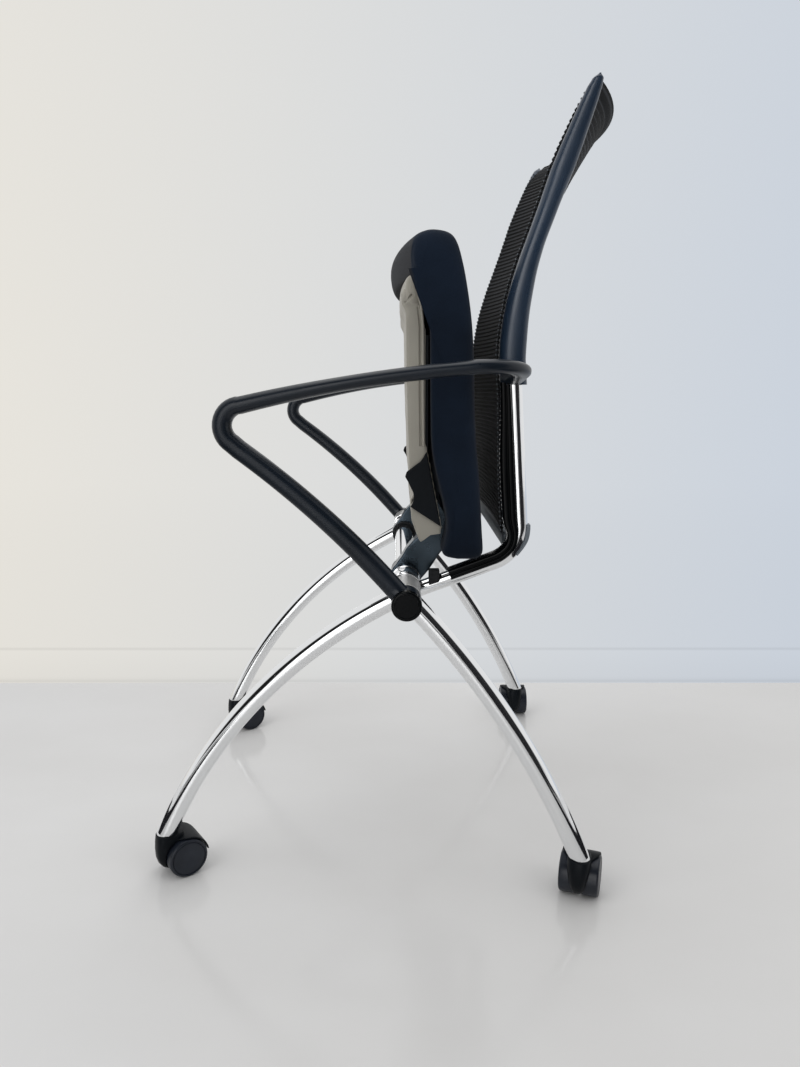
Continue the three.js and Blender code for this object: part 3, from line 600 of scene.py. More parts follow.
def polished_chrome(colours):
    material = new_material("polished_chrome", colours.chrome, 0.05, 1.0)
    vary_roughness(material, noise(material, 60), 0.03, 0.09)
    return material


def satin_sleeve(colours):
    material = new_material("satin_sleeve", colours.satin, 0.35, 0.6)
    lathe_marks = noise(material, 40, 3.0, (30, 1, 1))
    vary_roughness(material, lathe_marks, 0.28, 0.42)
    raise_grain(material, lathe_marks, 0.12, 0.0002)
    return material


# Dark blue-grey base colour painted in as the reflection of a dark room in polished metal.
def painted_reflection_steel(colours):
    material = new_material("painted_reflection_steel", colours.steel, 0.28, 0.9, Coat_Weight=0.1, Coat_Roughness=0.1)
    vary_colour(material, noise(material, 16), colours.steel, 0.7, 1.2)
    vary_roughness(material, noise(material, 45), 0.2, 0.34)
    raise_grain(material, noise(material, 900, 2.0), 0.05, 0.0001)
    return material


def moulded_black(colours):
    """Fine spark-eroded grain, with a little wear in its sheen."""
    material = new_material("moulded_black", colours.black, 0.4, Specular_IOR_Level=0.1)
    vary_colour(material, noise(material, 14), colours.black, 0.8, 1.25)
    vary_roughness(material, noise(material, 35), 0.33, 0.47)
    raise_grain(material, cells(material, 1400), 0.16, 0.00012)
    return material


def satin_rail(colours):
    """Blue-black moulding with a long soft sheen."""
    material = new_material("satin_rail", colours.rail, 0.3, Specular_IOR_Level=0.55)
    vary_colour(material, noise(material, 8, 5.0), colours.rail, 0.85, 1.2)
    vary_roughness(material, noise(material, 28), 0.26, 0.36)
    raise_grain(material, cells(material, 1500), 0.1, 0.0001)
    return material


def satin_arm(colours):
    """Slate-black moulding, smoother where hands rub it."""
    colour = mix(Vector(colours.black), Vector(colours.rail), 0.2)
    material = new_material("satin_arm", colour, 0.3, Specular_IOR_Level=0.3)
    vary_colour(material, noise(material, 10, 5.0), colour, 0.85, 1.2)
    vary_roughness(material, noise(material, 24), 0.26, 0.38)
    return material


def glossy_moulding(colours):
    material = new_material("glossy_moulding", colours.gloss, 0.2, Specular_IOR_Level=0.1)
    vary_roughness(material, noise(material, 50), 0.1, 0.2)
    return material


def black_rubber(colours):
    material = new_material("black_rubber", shade(colours.black, 0.8), 0.75)
    raise_grain(material, noise(material, 1200), 0.25, 0.0002)
    return material


def grey_rubber(colours):
    material = new_material("grey_rubber", colours.pad, 0.55)
    vary_colour(material, noise(material, 30), colours.pad, 0.85, 1.15)
    raise_grain(material, noise(material, 1000), 0.2, 0.0002)
    return material


def shell_plastic(colours):
    """Warm grey moulded pan with a fine grain and faint handling marks."""
    material = new_material("shell_plastic", colours.shell, 0.5)
    vary_colour(material, noise(material, 9, 6.0), colours.shell, 0.93, 1.06)
    vary_roughness(material, noise(material, 25), 0.42, 0.58)
    raise_grain(material, cells(material, 1100), 0.18, 0.00015)
    return material


def woven_fabric(colours):
    """Tight plain weave, with the nap a little lighter in places, and the front panel lightened with painted
    light.
    """
    sheen = {"Sheen_Weight": 0.05, "Sheen_Roughness": 0.5}
    material = new_material("woven_fabric", colours.fabric, 0.92, Specular_IOR_Level=0.12, **sheen)
    nap = vary_colour(material, noise(material, 11, 5.0), colours.fabric, 0.75, 1.35)
    raise_grain(material, cells(material, 950, (1, 1, 1.4)), 0.5, 0.0004)
    tree = material.node_tree
    # Ahead of the seam the cover takes the lighter panel colour, which is painted light.
    mark = shader_node(tree, "Attribute", attribute_name="front_panel").outputs["Fac"]
    drive(material, "Base Color", colour_mix(tree, "MIX", mark, nap, (*colours.panel, 1)))
    return material


def ribbed_net(colours, low, pitch):
    """Crests in the rib's own colour, with the valleys darkened to near black as painted shade, in step with
    the ribs.
    """
    material = new_material("ribbed_net", colours.rib, 0.7, Specular_IOR_Level=0.15)
    tree = material.node_tree
    value = shader_node(tree, "SeparateXYZ", {"Vector": own_place(tree)}).outputs["Z"]
    steps = (("SUBTRACT", low), ("DIVIDE", pitch), ("FRACT", 0), ("SUBTRACT", 0.5), ("ABSOLUTE", 0))
    for operation, amount in steps:
        value = math_node(tree, operation, value, amount)
    # The near-black valley colour is painted shade in the hollows between the ribs.
    ramp = colour_ramp(tree, value, ((0.08, colours.rib), (0.22, shade(colours.gloss, 0.4))))
    drive(material, "Base Color", ramp)
    raise_grain(material, noise(material, 1500, 2.0, (6, 1, 1)), 0.3, 0.0002)
    return material


def wheel_plastic(colours):
    material = new_material("wheel_plastic", colours.tyre, 0.35, Specular_IOR_Level=0.35)
    vary_roughness(material, noise(material, 60), 0.28, 0.5)
    vary_colour(material, noise(material, 40), colours.tyre, 0.8, 1.4)
    return material


FINISHES = {
    "chrome": polished_chrome,
    "satin_grey": satin_sleeve,
    "dark_steel": painted_reflection_steel,
    "matt_black": moulded_black,
    "satin_rail": satin_rail,
    "satin_arm": satin_arm,
    "gloss_black": glossy_moulding,
    "rubber_black": black_rubber,
    "pad_grey": grey_rubber,
    "shell_grey": shell_plastic,
    "fabric_navy": woven_fabric,
    "wheel_black": wheel_plastic,
}


def finish(key):
    """A finish of the list above, made once."""
    function = FINISHES[key]
    return bpy.data.materials.get(function.__name__) or function(settings()[3])


def refinish(node, slot):
    """Gives its finish to a CAD node that stays in sight."""
    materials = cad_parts[node].data.materials
    materials.clear()
    materials.append(finish(slot))


class CHAIR_OT_stage(bpy.types.Operator):
    """Adds the camera, the pale floor and the soft lights"""

    bl_idname = "chair.stage"
    bl_label = "Stage"

    camera_place = Vector((1.1844, HUB.y - 0.0083, 0.6291))
    picture_half_width = 0.45
    # Wall colours with painted light: lighter and warm at the left, darker and cool at the right.
    wall_tones = (0.80, 0.775, 0.72), (0.60, 0.65, 0.72)
    window_direction = (0.924, -0.272, 0.272)
    lamps = (
        ("key", (1.4, -1.6, 2.2), 1.8, 17),
        ("fill", (1.6, 1.9, 1.7), 1.8, 11),
        ("top", (-0.3, 0.1, 2.6), 2.2, 16),
        ("back", (-1.8, 0.4, 1.6), 1.6, 9),
    )

    def execute(self, context):
        scene = context.scene
        pitch = math.radians(10.37)
        yaw = 0.00094
        focal_pixels, long_side_pixels, sensor = 800, 1067, 36
        deselect_all()
        bpy.ops.object.camera_add(
            location=self.camera_place, rotation=(math.pi / 2 - pitch, 0, math.pi / 2 - yaw)
        )
        camera = context.object
        camera.data.sensor_width = sensor
        camera.data.lens = sensor * focal_pixels / long_side_pixels
        camera.data.clip_end = 50
        scene.camera = camera

        floor_size = 14
        bpy.ops.mesh.primitive_plane_add(size=floor_size)
        floor = context.object
        floor.name = "floor"
        floor.data.materials.append(self.floor_material())
        self.dark_card()
        for name, place, size, power in self.lamps:
            bpy.ops.object.light_add(type="AREA", location=place)
            lamp = context.object
            lamp.name = name
            lamp.data.size = size
            lamp.data.energy = power
            lamp.visible_glossy = name == "top"
            aim = Vector((0, HUB.y, HUB.z)) - lamp.location
            lamp.rotation_euler = aim.to_track_quat("-Z", "Y").to_euler()
        self.light_world(scene)
        scene.view_settings.view_transform = "Standard"
        return {"FINISHED"}

    def dark_card(self):
        """A dark upright card, seen only in shiny things."""
        place, length, width = (1.32, 1.35, 0.6), 1.3, 1.9
        deselect_all()
        bpy.ops.mesh.primitive_plane_add(location=place, rotation=(0, math.pi / 2, 0))
        card = bpy.context.object
        card.name = "dark_card"
        card.scale = (length / 2, width / 2, 1)
        card.data.materials.append(new_material("card_black", (0.01, 0.01, 0.012), 0.9))
        for ray in ("camera", "diffuse", "transmission", "volume_scatter", "shadow"):
            setattr(card, f"visible_{ray}", False)

    def dark_patches(self, tree, x, y):
        """Where shiny things see the floor dark, one patch on each side of the chair."""
        away = math_node(tree, "ABSOLUTE", y)
        value = shader_node(tree, "LightPath").outputs["Is Glossy Ray"]
        near, far, start, end = 0.555, 1.12, -0.1, 1.3
        limits = (
            (away, "GREATER_THAN", near), (away, "LESS_THAN", far),
            (x, "GREATER_THAN", start), (x, "LESS_THAN", end),
        )
        for source, operation, limit in limits:
            value = math_node(tree, "MULTIPLY", math_node(tree, operation, source, limit), value)
        return value

    def across_tones(self, tree, value):
        """Painted light on the wall: warm and lighter at the left of the picture, cool and darker to its
        right.
        """
        share = map_range(tree, value, -self.picture_half_width, self.picture_half_width)
        return colour_ramp(tree, share, list(enumerate(self.wall_tones)))

    def floor_material(self):
        """Pale gloss floor with faint scuffs, that turns into a glowing wall and skirting beyond the chair,
        with painted light across the wall.
        """
        material = new_material("pale_floor", (0.71, 0.70, 0.685), 0.12, Specular_IOR_Level=0.35)
        tree = material.node_tree
        scuffs = noise(material, 2.2, 8.0, (1, 0.6, 1))
        scuff_tones = ((0.3, (0.68, 0.67, 0.655)), (0.7, (0.75, 0.745, 0.735)))
        drive(material, "Base Color", colour_ramp(tree, scuffs, scuff_tones))
        vary_roughness(material, noise(material, 5, 6.0), 0.08, 0.2)
        place = own_place(tree)
        split = shader_node(tree, "SeparateXYZ", {"Vector": place})
        x, y = split.outputs["X"], split.outputs["Y"]
        floor_edge, skirting_edge, span = -0.459, -0.679, 4.0
        lines = (
            (-span, 1.0), (skirting_edge - 0.02, 0.97), (skirting_edge - 0.006, 0.84),
            (skirting_edge + 0.004, 0.98), (floor_edge - 0.03, 0.94), (floor_edge - 0.004, 0.80),
            (floor_edge, 1.0),
        )
        steps = [((line + span) / span, tone) for line, tone in lines]
        tone = grey_ramp(tree, map_range(tree, x, -span, 0), steps)
        eye = shader_node(tree, "VectorMath", {0: place, 1: self.camera_place}, operation="SUBTRACT")
        ray = shader_node(tree, "VectorMath", {0: eye.outputs["Vector"]}, operation="NORMALIZE")
        ray_y = shader_node(tree, "SeparateXYZ", {"Vector": ray.outputs["Vector"]}).outputs["Y"]
        # The wall beyond the floor's edge glows in these tones, which are painted light.
        wall = colour_mix(tree, "MULTIPLY", 1.0, self.across_tones(tree, ray_y), tone)
        glow = shader_node(tree, "Emission", {"Color": wall}).outputs["Emission"]
        beyond = math_node(tree, "LESS_THAN", x, floor_edge)
        shader = tree.nodes["Principled BSDF"].outputs["BSDF"]
        dark = shader_node(tree, "Emission", {"Color": (0.012, 0.012, 0.014, 1)}).outputs["Emission"]
        shown = shader_mix(tree, beyond, shader, glow)
        shown = shader_mix(tree, self.dark_patches(tree, x, y), shown, dark)
        tree.links.new(shown, tree.nodes["Material Output"].inputs["Surface"])
        return material

    def light_world(self, scene):
        """Even pale light. Shiny things also see a dark room with bright bands and a window."""
        world = bpy.data.worlds.new("studio")
        scene.world = world
        world.use_nodes = True
        world.cycles.sampling_method = "NONE"
        tree = world.node_tree
        light = tree.nodes["Background"]
        light.inputs["Color"].default_value = (0.97, 0.98, 1, 1)
        light.inputs["Strength"].default_value = 0.5
        place = shader_node(tree, "TexCoord").outputs["Generated"]
        split = shader_node(tree, "SeparateXYZ", {"Vector": place})
        # The camera sees the backdrop in the wall's painted light, warm to cool.
        seen = shader_node(tree, "Background", {"Color": self.across_tones(tree, split.outputs["Y"])})
        window = shader_node(
            tree, "VectorMath", {0: place, 1: self.window_direction}, operation="DOT_PRODUCT"
        ).outputs["Value"]
        bands = ((0.0, 0.8), (0.015, 0.8), (0.05, 0.012), (0.86, 0.012), (0.94, 0.9))
        behind = ((0.0, 0.84), (0.24, 0.84), (0.38, 0.0), (1.0, 0.0))
        spot_light = ((0.0, 0.0), (0.93, 0.0), (0.965, 0.8), (1.0, 0.85))
        lit = grey_ramp(tree, split.outputs["Z"], bands)
        lit = colour_mix(tree, "LIGHTEN", 1.0, lit, grey_ramp(tree, split.outputs["X"], behind))
        lit = colour_mix(tree, "LIGHTEN", 1.0, lit, grey_ramp(tree, window, spot_light))
        glare = map_range(tree, window, 0.93, 0.985, 1.0, 4.0)
        mirror = shader_node(tree, "Background", {"Color": lit, "Strength": glare})
        path = shader_node(tree, "LightPath").outputs
        shiny = shader_mix(
            tree, path["Is Glossy Ray"], light.outputs["Background"], mirror.outputs["Background"]
        )
        shown = shader_mix(tree, path["Is Camera Ray"], shiny, seen.outputs["Background"])
        tree.links.new(shown, tree.nodes["World Output"].inputs["Surface"])


class CHAIR_OT_hub(bpy.types.Operator):
    """Adds the cross tube and the rings, sleeves and caps on it"""

    bl_idname = "chair.hub"
    bl_label = "Hub"

    def execute(self, context):
        tube_low, tube_high = across("cross_tube")
        tube_radius = half_height("cross_tube")
        cross = turned_on_hub(
            [(tube_low, 0), (tube_low, tube_radius), (tube_high, tube_radius), (tube_high, 0)]
        )
        finished(cross, "polished_cross_tube", "chrome", "frame", ["cross_tube"])

        edge = 0.0008
        rings = (("bracket_bush", "rubber_black", "bush"), ("hub_sleeve", "satin_grey", "sleeve"))
        for node, slot, name in rings:
            low, high = across(f"{node}_left")
            radius = half_height(f"{node}_left")
            profile = [(low, tube_radius), (low, radius), (high, radius), (high, tube_radius)]
            finish_pair(soften_edges(turned_on_hub(profile), edge), name, slot, node)
        self.collar(edge, tube_radius)
        self.cap()
        return {"FINISHED"}

    def collar(self, edge, bore):
        """Chromed collar with two raised rings."""
        low, high = across("frame_collar_left")
        outer = half_height("frame_collar_left")
        inner = outer - 0.001
        ring_width, first_ring = 0.004, 0.02
        first = low + first_ring
        second = high - ring_width
        profile = [
            (low, bore), (low, inner), (first - ring_width, inner), (first - ring_width, outer),
            (first, outer), (first, inner), (second, inner), (second, outer), (high, outer), (high, bore),
        ]
        ring = soften_edges(turned_on_hub(profile), edge / 2, 2)
        finish_pair(ring, "polished_collar", "chrome", "frame_collar")

    def cap(self):
        """Bare domed cap with a soft rim and a shallow dished face."""
        high = across("hub_cap_left")[1]
        low = across("armrest_left")[1]
        radius = half_height("hub_cap_left")
        rim, dish = 0.0022, 0.0006
        profile = [(low, 0), (low, radius)] + quarter_round(high, radius, rim)
        profile += [(high, radius * 0.8), (high - dish, radius * 0.76), (high - dish, 0)]
        finish_pair(turned_on_hub(profile), "bare_cap", "gloss_black", "hub_cap")


class CHAIR_OT_legs(bpy.types.Operator):
    """Adds the four bowed legs"""

    bl_idname = "chair.legs"
    bl_label = "Legs"

    def execute(self, context):
        sizes = settings()[0]
        ends = (
            ("front", 0.226, sizes.front_drop, -sizes.front_bow),
            ("rear", 0.270, sizes.rear_drop, sizes.rear_bow),
        )
        cut_edge = 0.0008
        for end, hub_x, drop, bow in ends:
            stem = middle(f"caster_{end}_left_stem")
            foot = Vector((stem.x, stem.y, sizes.leg_foot))
            path = arc(spot(hub_x, 0, HUB.z - drop), foot, bow, 48)
            path.append(path[-1] + (path[-1] - path[-2]).normalized() * sizes.leg_radius)
            leg = tube(path, sizes.leg_radius)
            pick(leg)
            bpy.ops.object.mode_set(mode="EDIT")
            bpy.ops.mesh.select_all(action="SELECT")
            bpy.ops.mesh.bisect(
                plane_co=(0, 0, sizes.leg_foot), plane_no=(0, 0, 1), use_fill=True, clear_inner=True
            )
            bpy.ops.object.mode_set(mode="OBJECT")
            close_mesh(leg)
            soften_edges(leg, cut_edge, 2)
            finish_pair(leg, f"chromed_{end}_leg", "chrome", f"{end}_leg")
        return {"FINISHED"}


class CHAIR_OT_armrests(bpy.types.Operator):
    """Adds the looped armrests"""

    bl_idname = "chair.armrests"
    bl_label = "Armrests"

    def execute(self, context):
        sizes = settings()[0]
        low_x, high_x = across("armrest_left")
        eye_width = 0.024
        arm_x = high_x - eye_width / 2
        elbow = spot(arm_x, -0.235, 0.596)
        wrist = spot(arm_x, 0.129, 0.653)
        drop = 0.013
        end = spot(low_x, 0.129, wrist.z - drop)
        stay_bow, rest_bow = -0.0116, 0.0106
        lower = arc(spot(arm_x, 0, HUB.z), elbow, stay_bow, 26)
        upper = arc(elbow, wrist, rest_bow, 34)
        inward = [wrist.lerp(end, t / 12) for t in range(13)]
        path = rounded_path([lower, upper, inward], [sizes.elbow_radius, sizes.wrist_radius], 14)
        elbow_at = min(range(len(path)), key=lambda i: (path[i] - elbow).length)
        root_width, width = 0.023, 0.028
        root_thick, elbow_thick, top_thick = 0.0235, 0.021, 0.016
        side = X_AXIS.copy()
        rings = []
        for i, (point, heading) in enumerate(zip(path, headings(path))):
            side = (side - heading * side.dot(heading)).normalized()
            below = min(1, i / elbow_at)
            past = max(0, (i - elbow_at) / (len(path) - 1 - elbow_at))
            root = mix(root_thick, elbow_thick, smooth(below, 0, 1))
            thick = mix(root, top_thick, smooth(past, 0, 0.4))
            half_width = mix(root_width, width, below) / 2
            rings.append(section(point, side, heading.cross(side), half_width, thick / 2, 32, 2.4))
        arm = swept(rings)
        eye_radius, eye_edge = 0.0175, 0.0012
        inner_x = high_x - eye_width
        eye = turned_on_hub([(inner_x, 0), (inner_x, eye_radius), (high_x, eye_radius), (high_x, 0)])
        boolean(arm, soften_edges(eye, eye_edge), "UNION")
        finish_pair(arm, "looped_arm", "matt_black", "armrest", angle=50, material=finish("satin_arm"))
        return {"FINISHED"}


# Setbacks and heights of a back tube's bend and top
BEND_SETBACK, BEND_HEIGHT = 0.1473, 0.4216
TUBE_SETBACK, TUBE_HEIGHT = 0.1314, 0.652


def upright_path(sizes):
    """The line of a back tube, from the hub round its bend and up."""
    root = spot(UPRIGHT_X, 0.004, 0.3684)
    corner = spot(UPRIGHT_X, BEND_SETBACK, BEND_HEIGHT)
    top = spot(UPRIGHT_X, TUBE_SETBACK, TUBE_HEIGHT)
    hidden = 0.045
    low = [root.lerp(corner, t / 8) for t in range(9)]
    high = [corner.lerp(top, t / 20) for t in range(21)]
    high.append(top + (top - corner).normalized() * hidden)
    return rounded_path([low, high], [sizes.upright_bend], 24)


def offset_strip(path, inner, outer, outline):
    """A strip along an upright, between two offsets to the inside of its bend."""
    rings = []
    for point, heading in zip(path, headings(path)):
        inside = X_AXIS.cross(heading)
        near, far = inner(point), outer(point)
        rings.append([point + X_AXIS * u + inside * mix(near, far, v) for u, v in outline])
    return swept(rings)


class CHAIR_OT_uprights(bpy.types.Operator):
    """Adds the back tubes, the channels on their fronts and their pads"""

    bl_idname = "chair.uprights"
    bl_label = "Uprights"

    def execute(self, context):
        sizes = settings()[0]
        path = upright_path(sizes)
        finish_pair(tube(path, sizes.upright_radius), "chromed_upright", "chrome", "back_tube")
        self.channel(path)
        self.pad(path, sizes)
        finish_pair(moulded("seat_stop_left", 0.0008, 16), "stop_block", "rubber_black", "seat_stop")
        return {"FINISHED"}

    def channel(self, path):
        """Black channel with two rounded lips and a groove between them."""
        start, top = 0.046, RAIL_LOW.z + 0.004
        run = [p for p in path if p.y - HUB.y > start and p.z < top]
        after = path[path.index(run[-1]) + 1]
        run.append(run[-1].lerp(after, (top - run[-1].z) / (after.z - run[-1].z)))
        half_width = 0.0135
        lip_shares = (
            (0.55, 0.0), (0.85, 0.02), (0.97, 0.1), (1.0, 0.25), (0.97, 0.4), (0.86, 0.46), (0.86, 0.54),
            (0.95, 0.6), (0.97, 0.75), (0.93, 0.9), (0.8, 0.98), (0.5, 1.0),
        )
        outline = [(u * half_width, v) for u, v in lip_shares]
        outline += [(-u * half_width, v) for u, v in reversed(lip_shares)]
        bend_top, taper, taper_reach = 0.4696, 0.005, 0.12

        def inner(point):
            return mix(-0.001, 0.005, smooth(point.z, BEND_HEIGHT, bend_top))

        def outer(point):
            depth = mix(0.012, 0.0218, smooth(point.z, BEND_HEIGHT, bend_top))
            return depth - taper * smooth(point.z, top - taper_reach, top)

        strip = offset_strip(run, inner, outer, outline)
        finish_pair(strip, "clipped_channel", "gloss_black", "back_channel")

    def pad(self, path, sizes):
        """Rubber pad behind the bend."""
        low, full, high, rear = 0.4225, 0.444, 0.458, 0.12
        run = [p for p in path if low < p.z < high and p.y - HUB.y > rear]
        half_width, edge = 0.008, 0.0012
        outline = [(v.x, v.y) for v in section(Vector((0, 0.5, 0)), X_AXIS, Y_AXIS, half_width, 0.5, 20, 4)]
        radius, proud = sizes.upright_radius, 0.003
        strip = offset_strip(
            run, lambda p: -radius - proud * smooth(p.z, low, full), lambda p: -radius + proud, outline
        )
        finish_pair(soften_edges(strip, edge), "bumper", "pad_grey", "rear_pad")


# The back's line, shared by its rails and its net
RAIL_HEIGHT_SHARES = (0, 0.15, 0.29, 0.42, 0.49, 0.6, 0.66, 0.72, 0.79, 0.85, 0.91, 0.96, 0.985, 1)
RAIL_DEPTH_SHARES = (1, 1, 0.92, 0.79, 0.74, 0.76, 0.8, 0.85, 0.8, 0.72, 0.64, 0.53, 0.4, 0.08)
RAIL_WIDTH_SHARES = (1, 1, 1, 0.97, 0.94, 0.9, 0.87, 0.84, 0.8, 0.76, 0.7, 0.6, 0.48, 0.22)
RAIL_TOP = RAIL_HIGH.z - 0.007
RAIL_DEPTH = 0.032
RAIL_WIDTH = 0.028
WAIST_HEIGHT = 0.6595
WAIST_SETBACK = 0.1305
BACK_RADIUS = 0.426
ARC_TOP = 0.802
FLARE_HEIGHT = 0.870
FLARE = 0.021


def back_setback(height):
    """Setback of the rails' middle at a height."""
    if height < WAIST_HEIGHT:
        slope = (TUBE_SETBACK - BEND_SETBACK) / (TUBE_HEIGHT - BEND_HEIGHT)
        return TUBE_SETBACK + slope * (height - TUBE_HEIGHT)
    arc_angle = math.asin((ARC_TOP - WAIST_HEIGHT) / BACK_RADIUS)
    if height < ARC_TOP:
        rise = height - WAIST_HEIGHT
        return WAIST_SETBACK + BACK_RADIUS - math.sqrt(BACK_RADIUS**2 - rise**2)
    arc_end = WAIST_SETBACK + BACK_RADIUS * (1 - math.cos(arc_angle))
    return arc_end + (height - ARC_TOP) * math.tan(arc_angle) * 1.02


def rail_x(height):
    share = max(0.0, (height - FLARE_HEIGHT) / (RAIL_HIGH.z - FLARE_HEIGHT))
    return UPRIGHT_X + FLARE * share**1.5


def rail_half_depth(height):
    share = (height - RAIL_LOW.z) / (RAIL_TOP - RAIL_LOW.z)
    return RAIL_DEPTH / 2 * interpolate(RAIL_HEIGHT_SHARES, RAIL_DEPTH_SHARES, max(0, share))


class CHAIR_OT_rails(bpy.types.Operator):
    """Adds the side rails of the back and its bottom rail"""

    bl_idname = "chair.rails"
    bl_label = "Back rails"

    def execute(self, context):
        rings = []
        steps = 72
        for i in range(steps + 1):
            share = math.sin(math.pi / 2 * i / steps)
            height = mix(RAIL_LOW.z, RAIL_TOP, share)
            half_width = RAIL_WIDTH / 2 * interpolate(RAIL_HEIGHT_SHARES, RAIL_WIDTH_SHARES, share)
            centre = spot(rail_x(height), back_setback(height), height)
            rings.append(section(centre, X_AXIS, Y_AXIS, half_width, rail_half_depth(height), 40, 2.6))
        tip_edge, bar_edge = 0.0015, 0.0055
        rail = soften_edges(swept(rings), tip_edge, 3, 60)
        finish_pair(rail, "side_rail", "matt_black", "back_rail", angle=50, material=finish("satin_rail"))

        low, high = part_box("back_bottom_rail")
        centre = (low + high) / 2
        bpy.ops.mesh.primitive_cube_add(location=centre)
        bar = context.object
        bar.scale = (high - low) / 2
        soften_edges(settle(bar), bar_edge, 5)
        finished(bar, "lower_rail", "rail_grey", "frame", ["back_bottom_rail"], material=finish("pad_grey"))
        return {"FINISHED"}


class CHAIR_OT_net(bpy.types.Operator):
    """Adds the ribbed net and the row of beads down each of its edges"""

    bl_idname = "chair.net"
    bl_label = "Ribbed net"

    def front(self, height, across_share):
        """Setback of the net's front, which follows the rails and is bowed across."""
        channel_depth, proud, change = 0.02, 0.0027, 0.13
        low = 1 - smooth(height, RAIL_LOW.z - change, RAIL_LOW.z)
        lead = mix(rail_half_depth(max(height, RAIL_LOW.z)), channel_depth, low) + proud
        share = (height - MESH_LOW.z) / (MESH_HIGH.z - MESH_LOW.z)
        low_bow, top_bow = 0.005, 0.057
        bow = mix(low_bow, top_bow, max(0, share) ** 1.5)
        return back_setback(height) - lead + bow * (1 - across_share**2)

    def half_width(self, height):
        """Half the net's width, which ends over the rails."""
        inset = 0.0115
        share = min(1, max(0, (height - RAIL_LOW.z) / (RAIL_TOP - RAIL_LOW.z)))
        return rail_x(height) - inset * interpolate(RAIL_HEIGHT_SHARES, RAIL_WIDTH_SHARES, share)

    def drop(self, across_share, share):
        """How far the top rows come down, more so at their rounded ends."""
        radius, fall, half_width = 0.006, 0.004, self.half_width(MESH_HIGH.z)
        corner = corner_inset(radius, half_width, across_share * half_width)
        return fall * smooth(share, 0.85, 1) + corner * smooth(share, 0.93, 1)

    def execute(self, context):
        sizes = settings()[1]
        rows_per_rib, columns = 6, 28
        rows = sizes.ribs * rows_per_rib
        pitch = (MESH_HIGH.z - MESH_LOW.z) / sizes.ribs
        deselect_all()
        bpy.ops.mesh.primitive_grid_add(x_subdivisions=columns, y_subdivisions=rows, size=2)
        net = context.object
        for vertex in net.data.vertices:
            u, share = vertex.co.x, (vertex.co.y + 1) / 2
            height = mix(MESH_LOW.z, MESH_HIGH.z, share)
            phase = (height - MESH_LOW.z) / pitch % 1
            crest = math.sqrt(max(0.0, 1 - (2 * phase - 1) ** 2))
            setback = self.front(height, u) + sizes.rib_depth * (1 - crest)
            vertex.co = spot(u * self.half_width(height), setback, height - self.drop(u, share))
        modify(net, "SOLIDIFY", thickness=sizes.membrane, offset=-1)
        close_mesh(net)
        material = ribbed_net(settings()[3], MESH_LOW.z, pitch)
        finished(net, "ribbed_net", "mesh_black", "frame", ["back_mesh"], 70, material)
        for side, sign in SIDES:
            self.beads(side, sign, pitch, sizes)
        return {"FINISHED"}

    def beads(self, side, sign, pitch, sizes):
        """Every rib ends in a small pale bump."""
        deselect_all()
        bpy.ops.mesh.primitive_uv_sphere_add(segments=10, ring_count=6, radius=sizes.bead_radius)
        first = bpy.context.object
        beads = [first]
        for _ in range(sizes.ribs - 2):
            copy = first.copy()
            copy.data = first.data.copy()
            bpy.context.scene.collection.objects.link(copy)
            beads.append(copy)
        edge_share = 0.985
        for k, bead in enumerate(beads):
            height = MESH_LOW.z + pitch * (k + 0.5)
            x = sign * self.half_width(height) * edge_share
            place = height - self.drop(edge_share, (height - MESH_LOW.z) / (MESH_HIGH.z - MESH_LOW.z))
            bead.location = spot(x, self.front(height, edge_share) - sizes.bead_radius * 0.3, place)
        finished(joined(*beads), f"rib_beads_{side}", "pad_grey", "frame")


class CHAIR_OT_goosenecks(bpy.types.Operator):
    """Adds the seat brackets, and finishes their pins and the forks on them"""

    bl_idname = "chair.goosenecks"
    bl_label = "Goosenecks"

    def execute(self, context):
        bracket = moulded("seat_bracket_left", 0.0011, 6)
        finish_pair(bracket, "gooseneck", "dark_steel", "seat_bracket", angle=60)
        for side, _ in SIDES:
            refinish(f"pivot_pin_{side}", "dark_steel")
            refinish(f"seat_fork_{side}", "dark_steel")
        return {"FINISHED"}


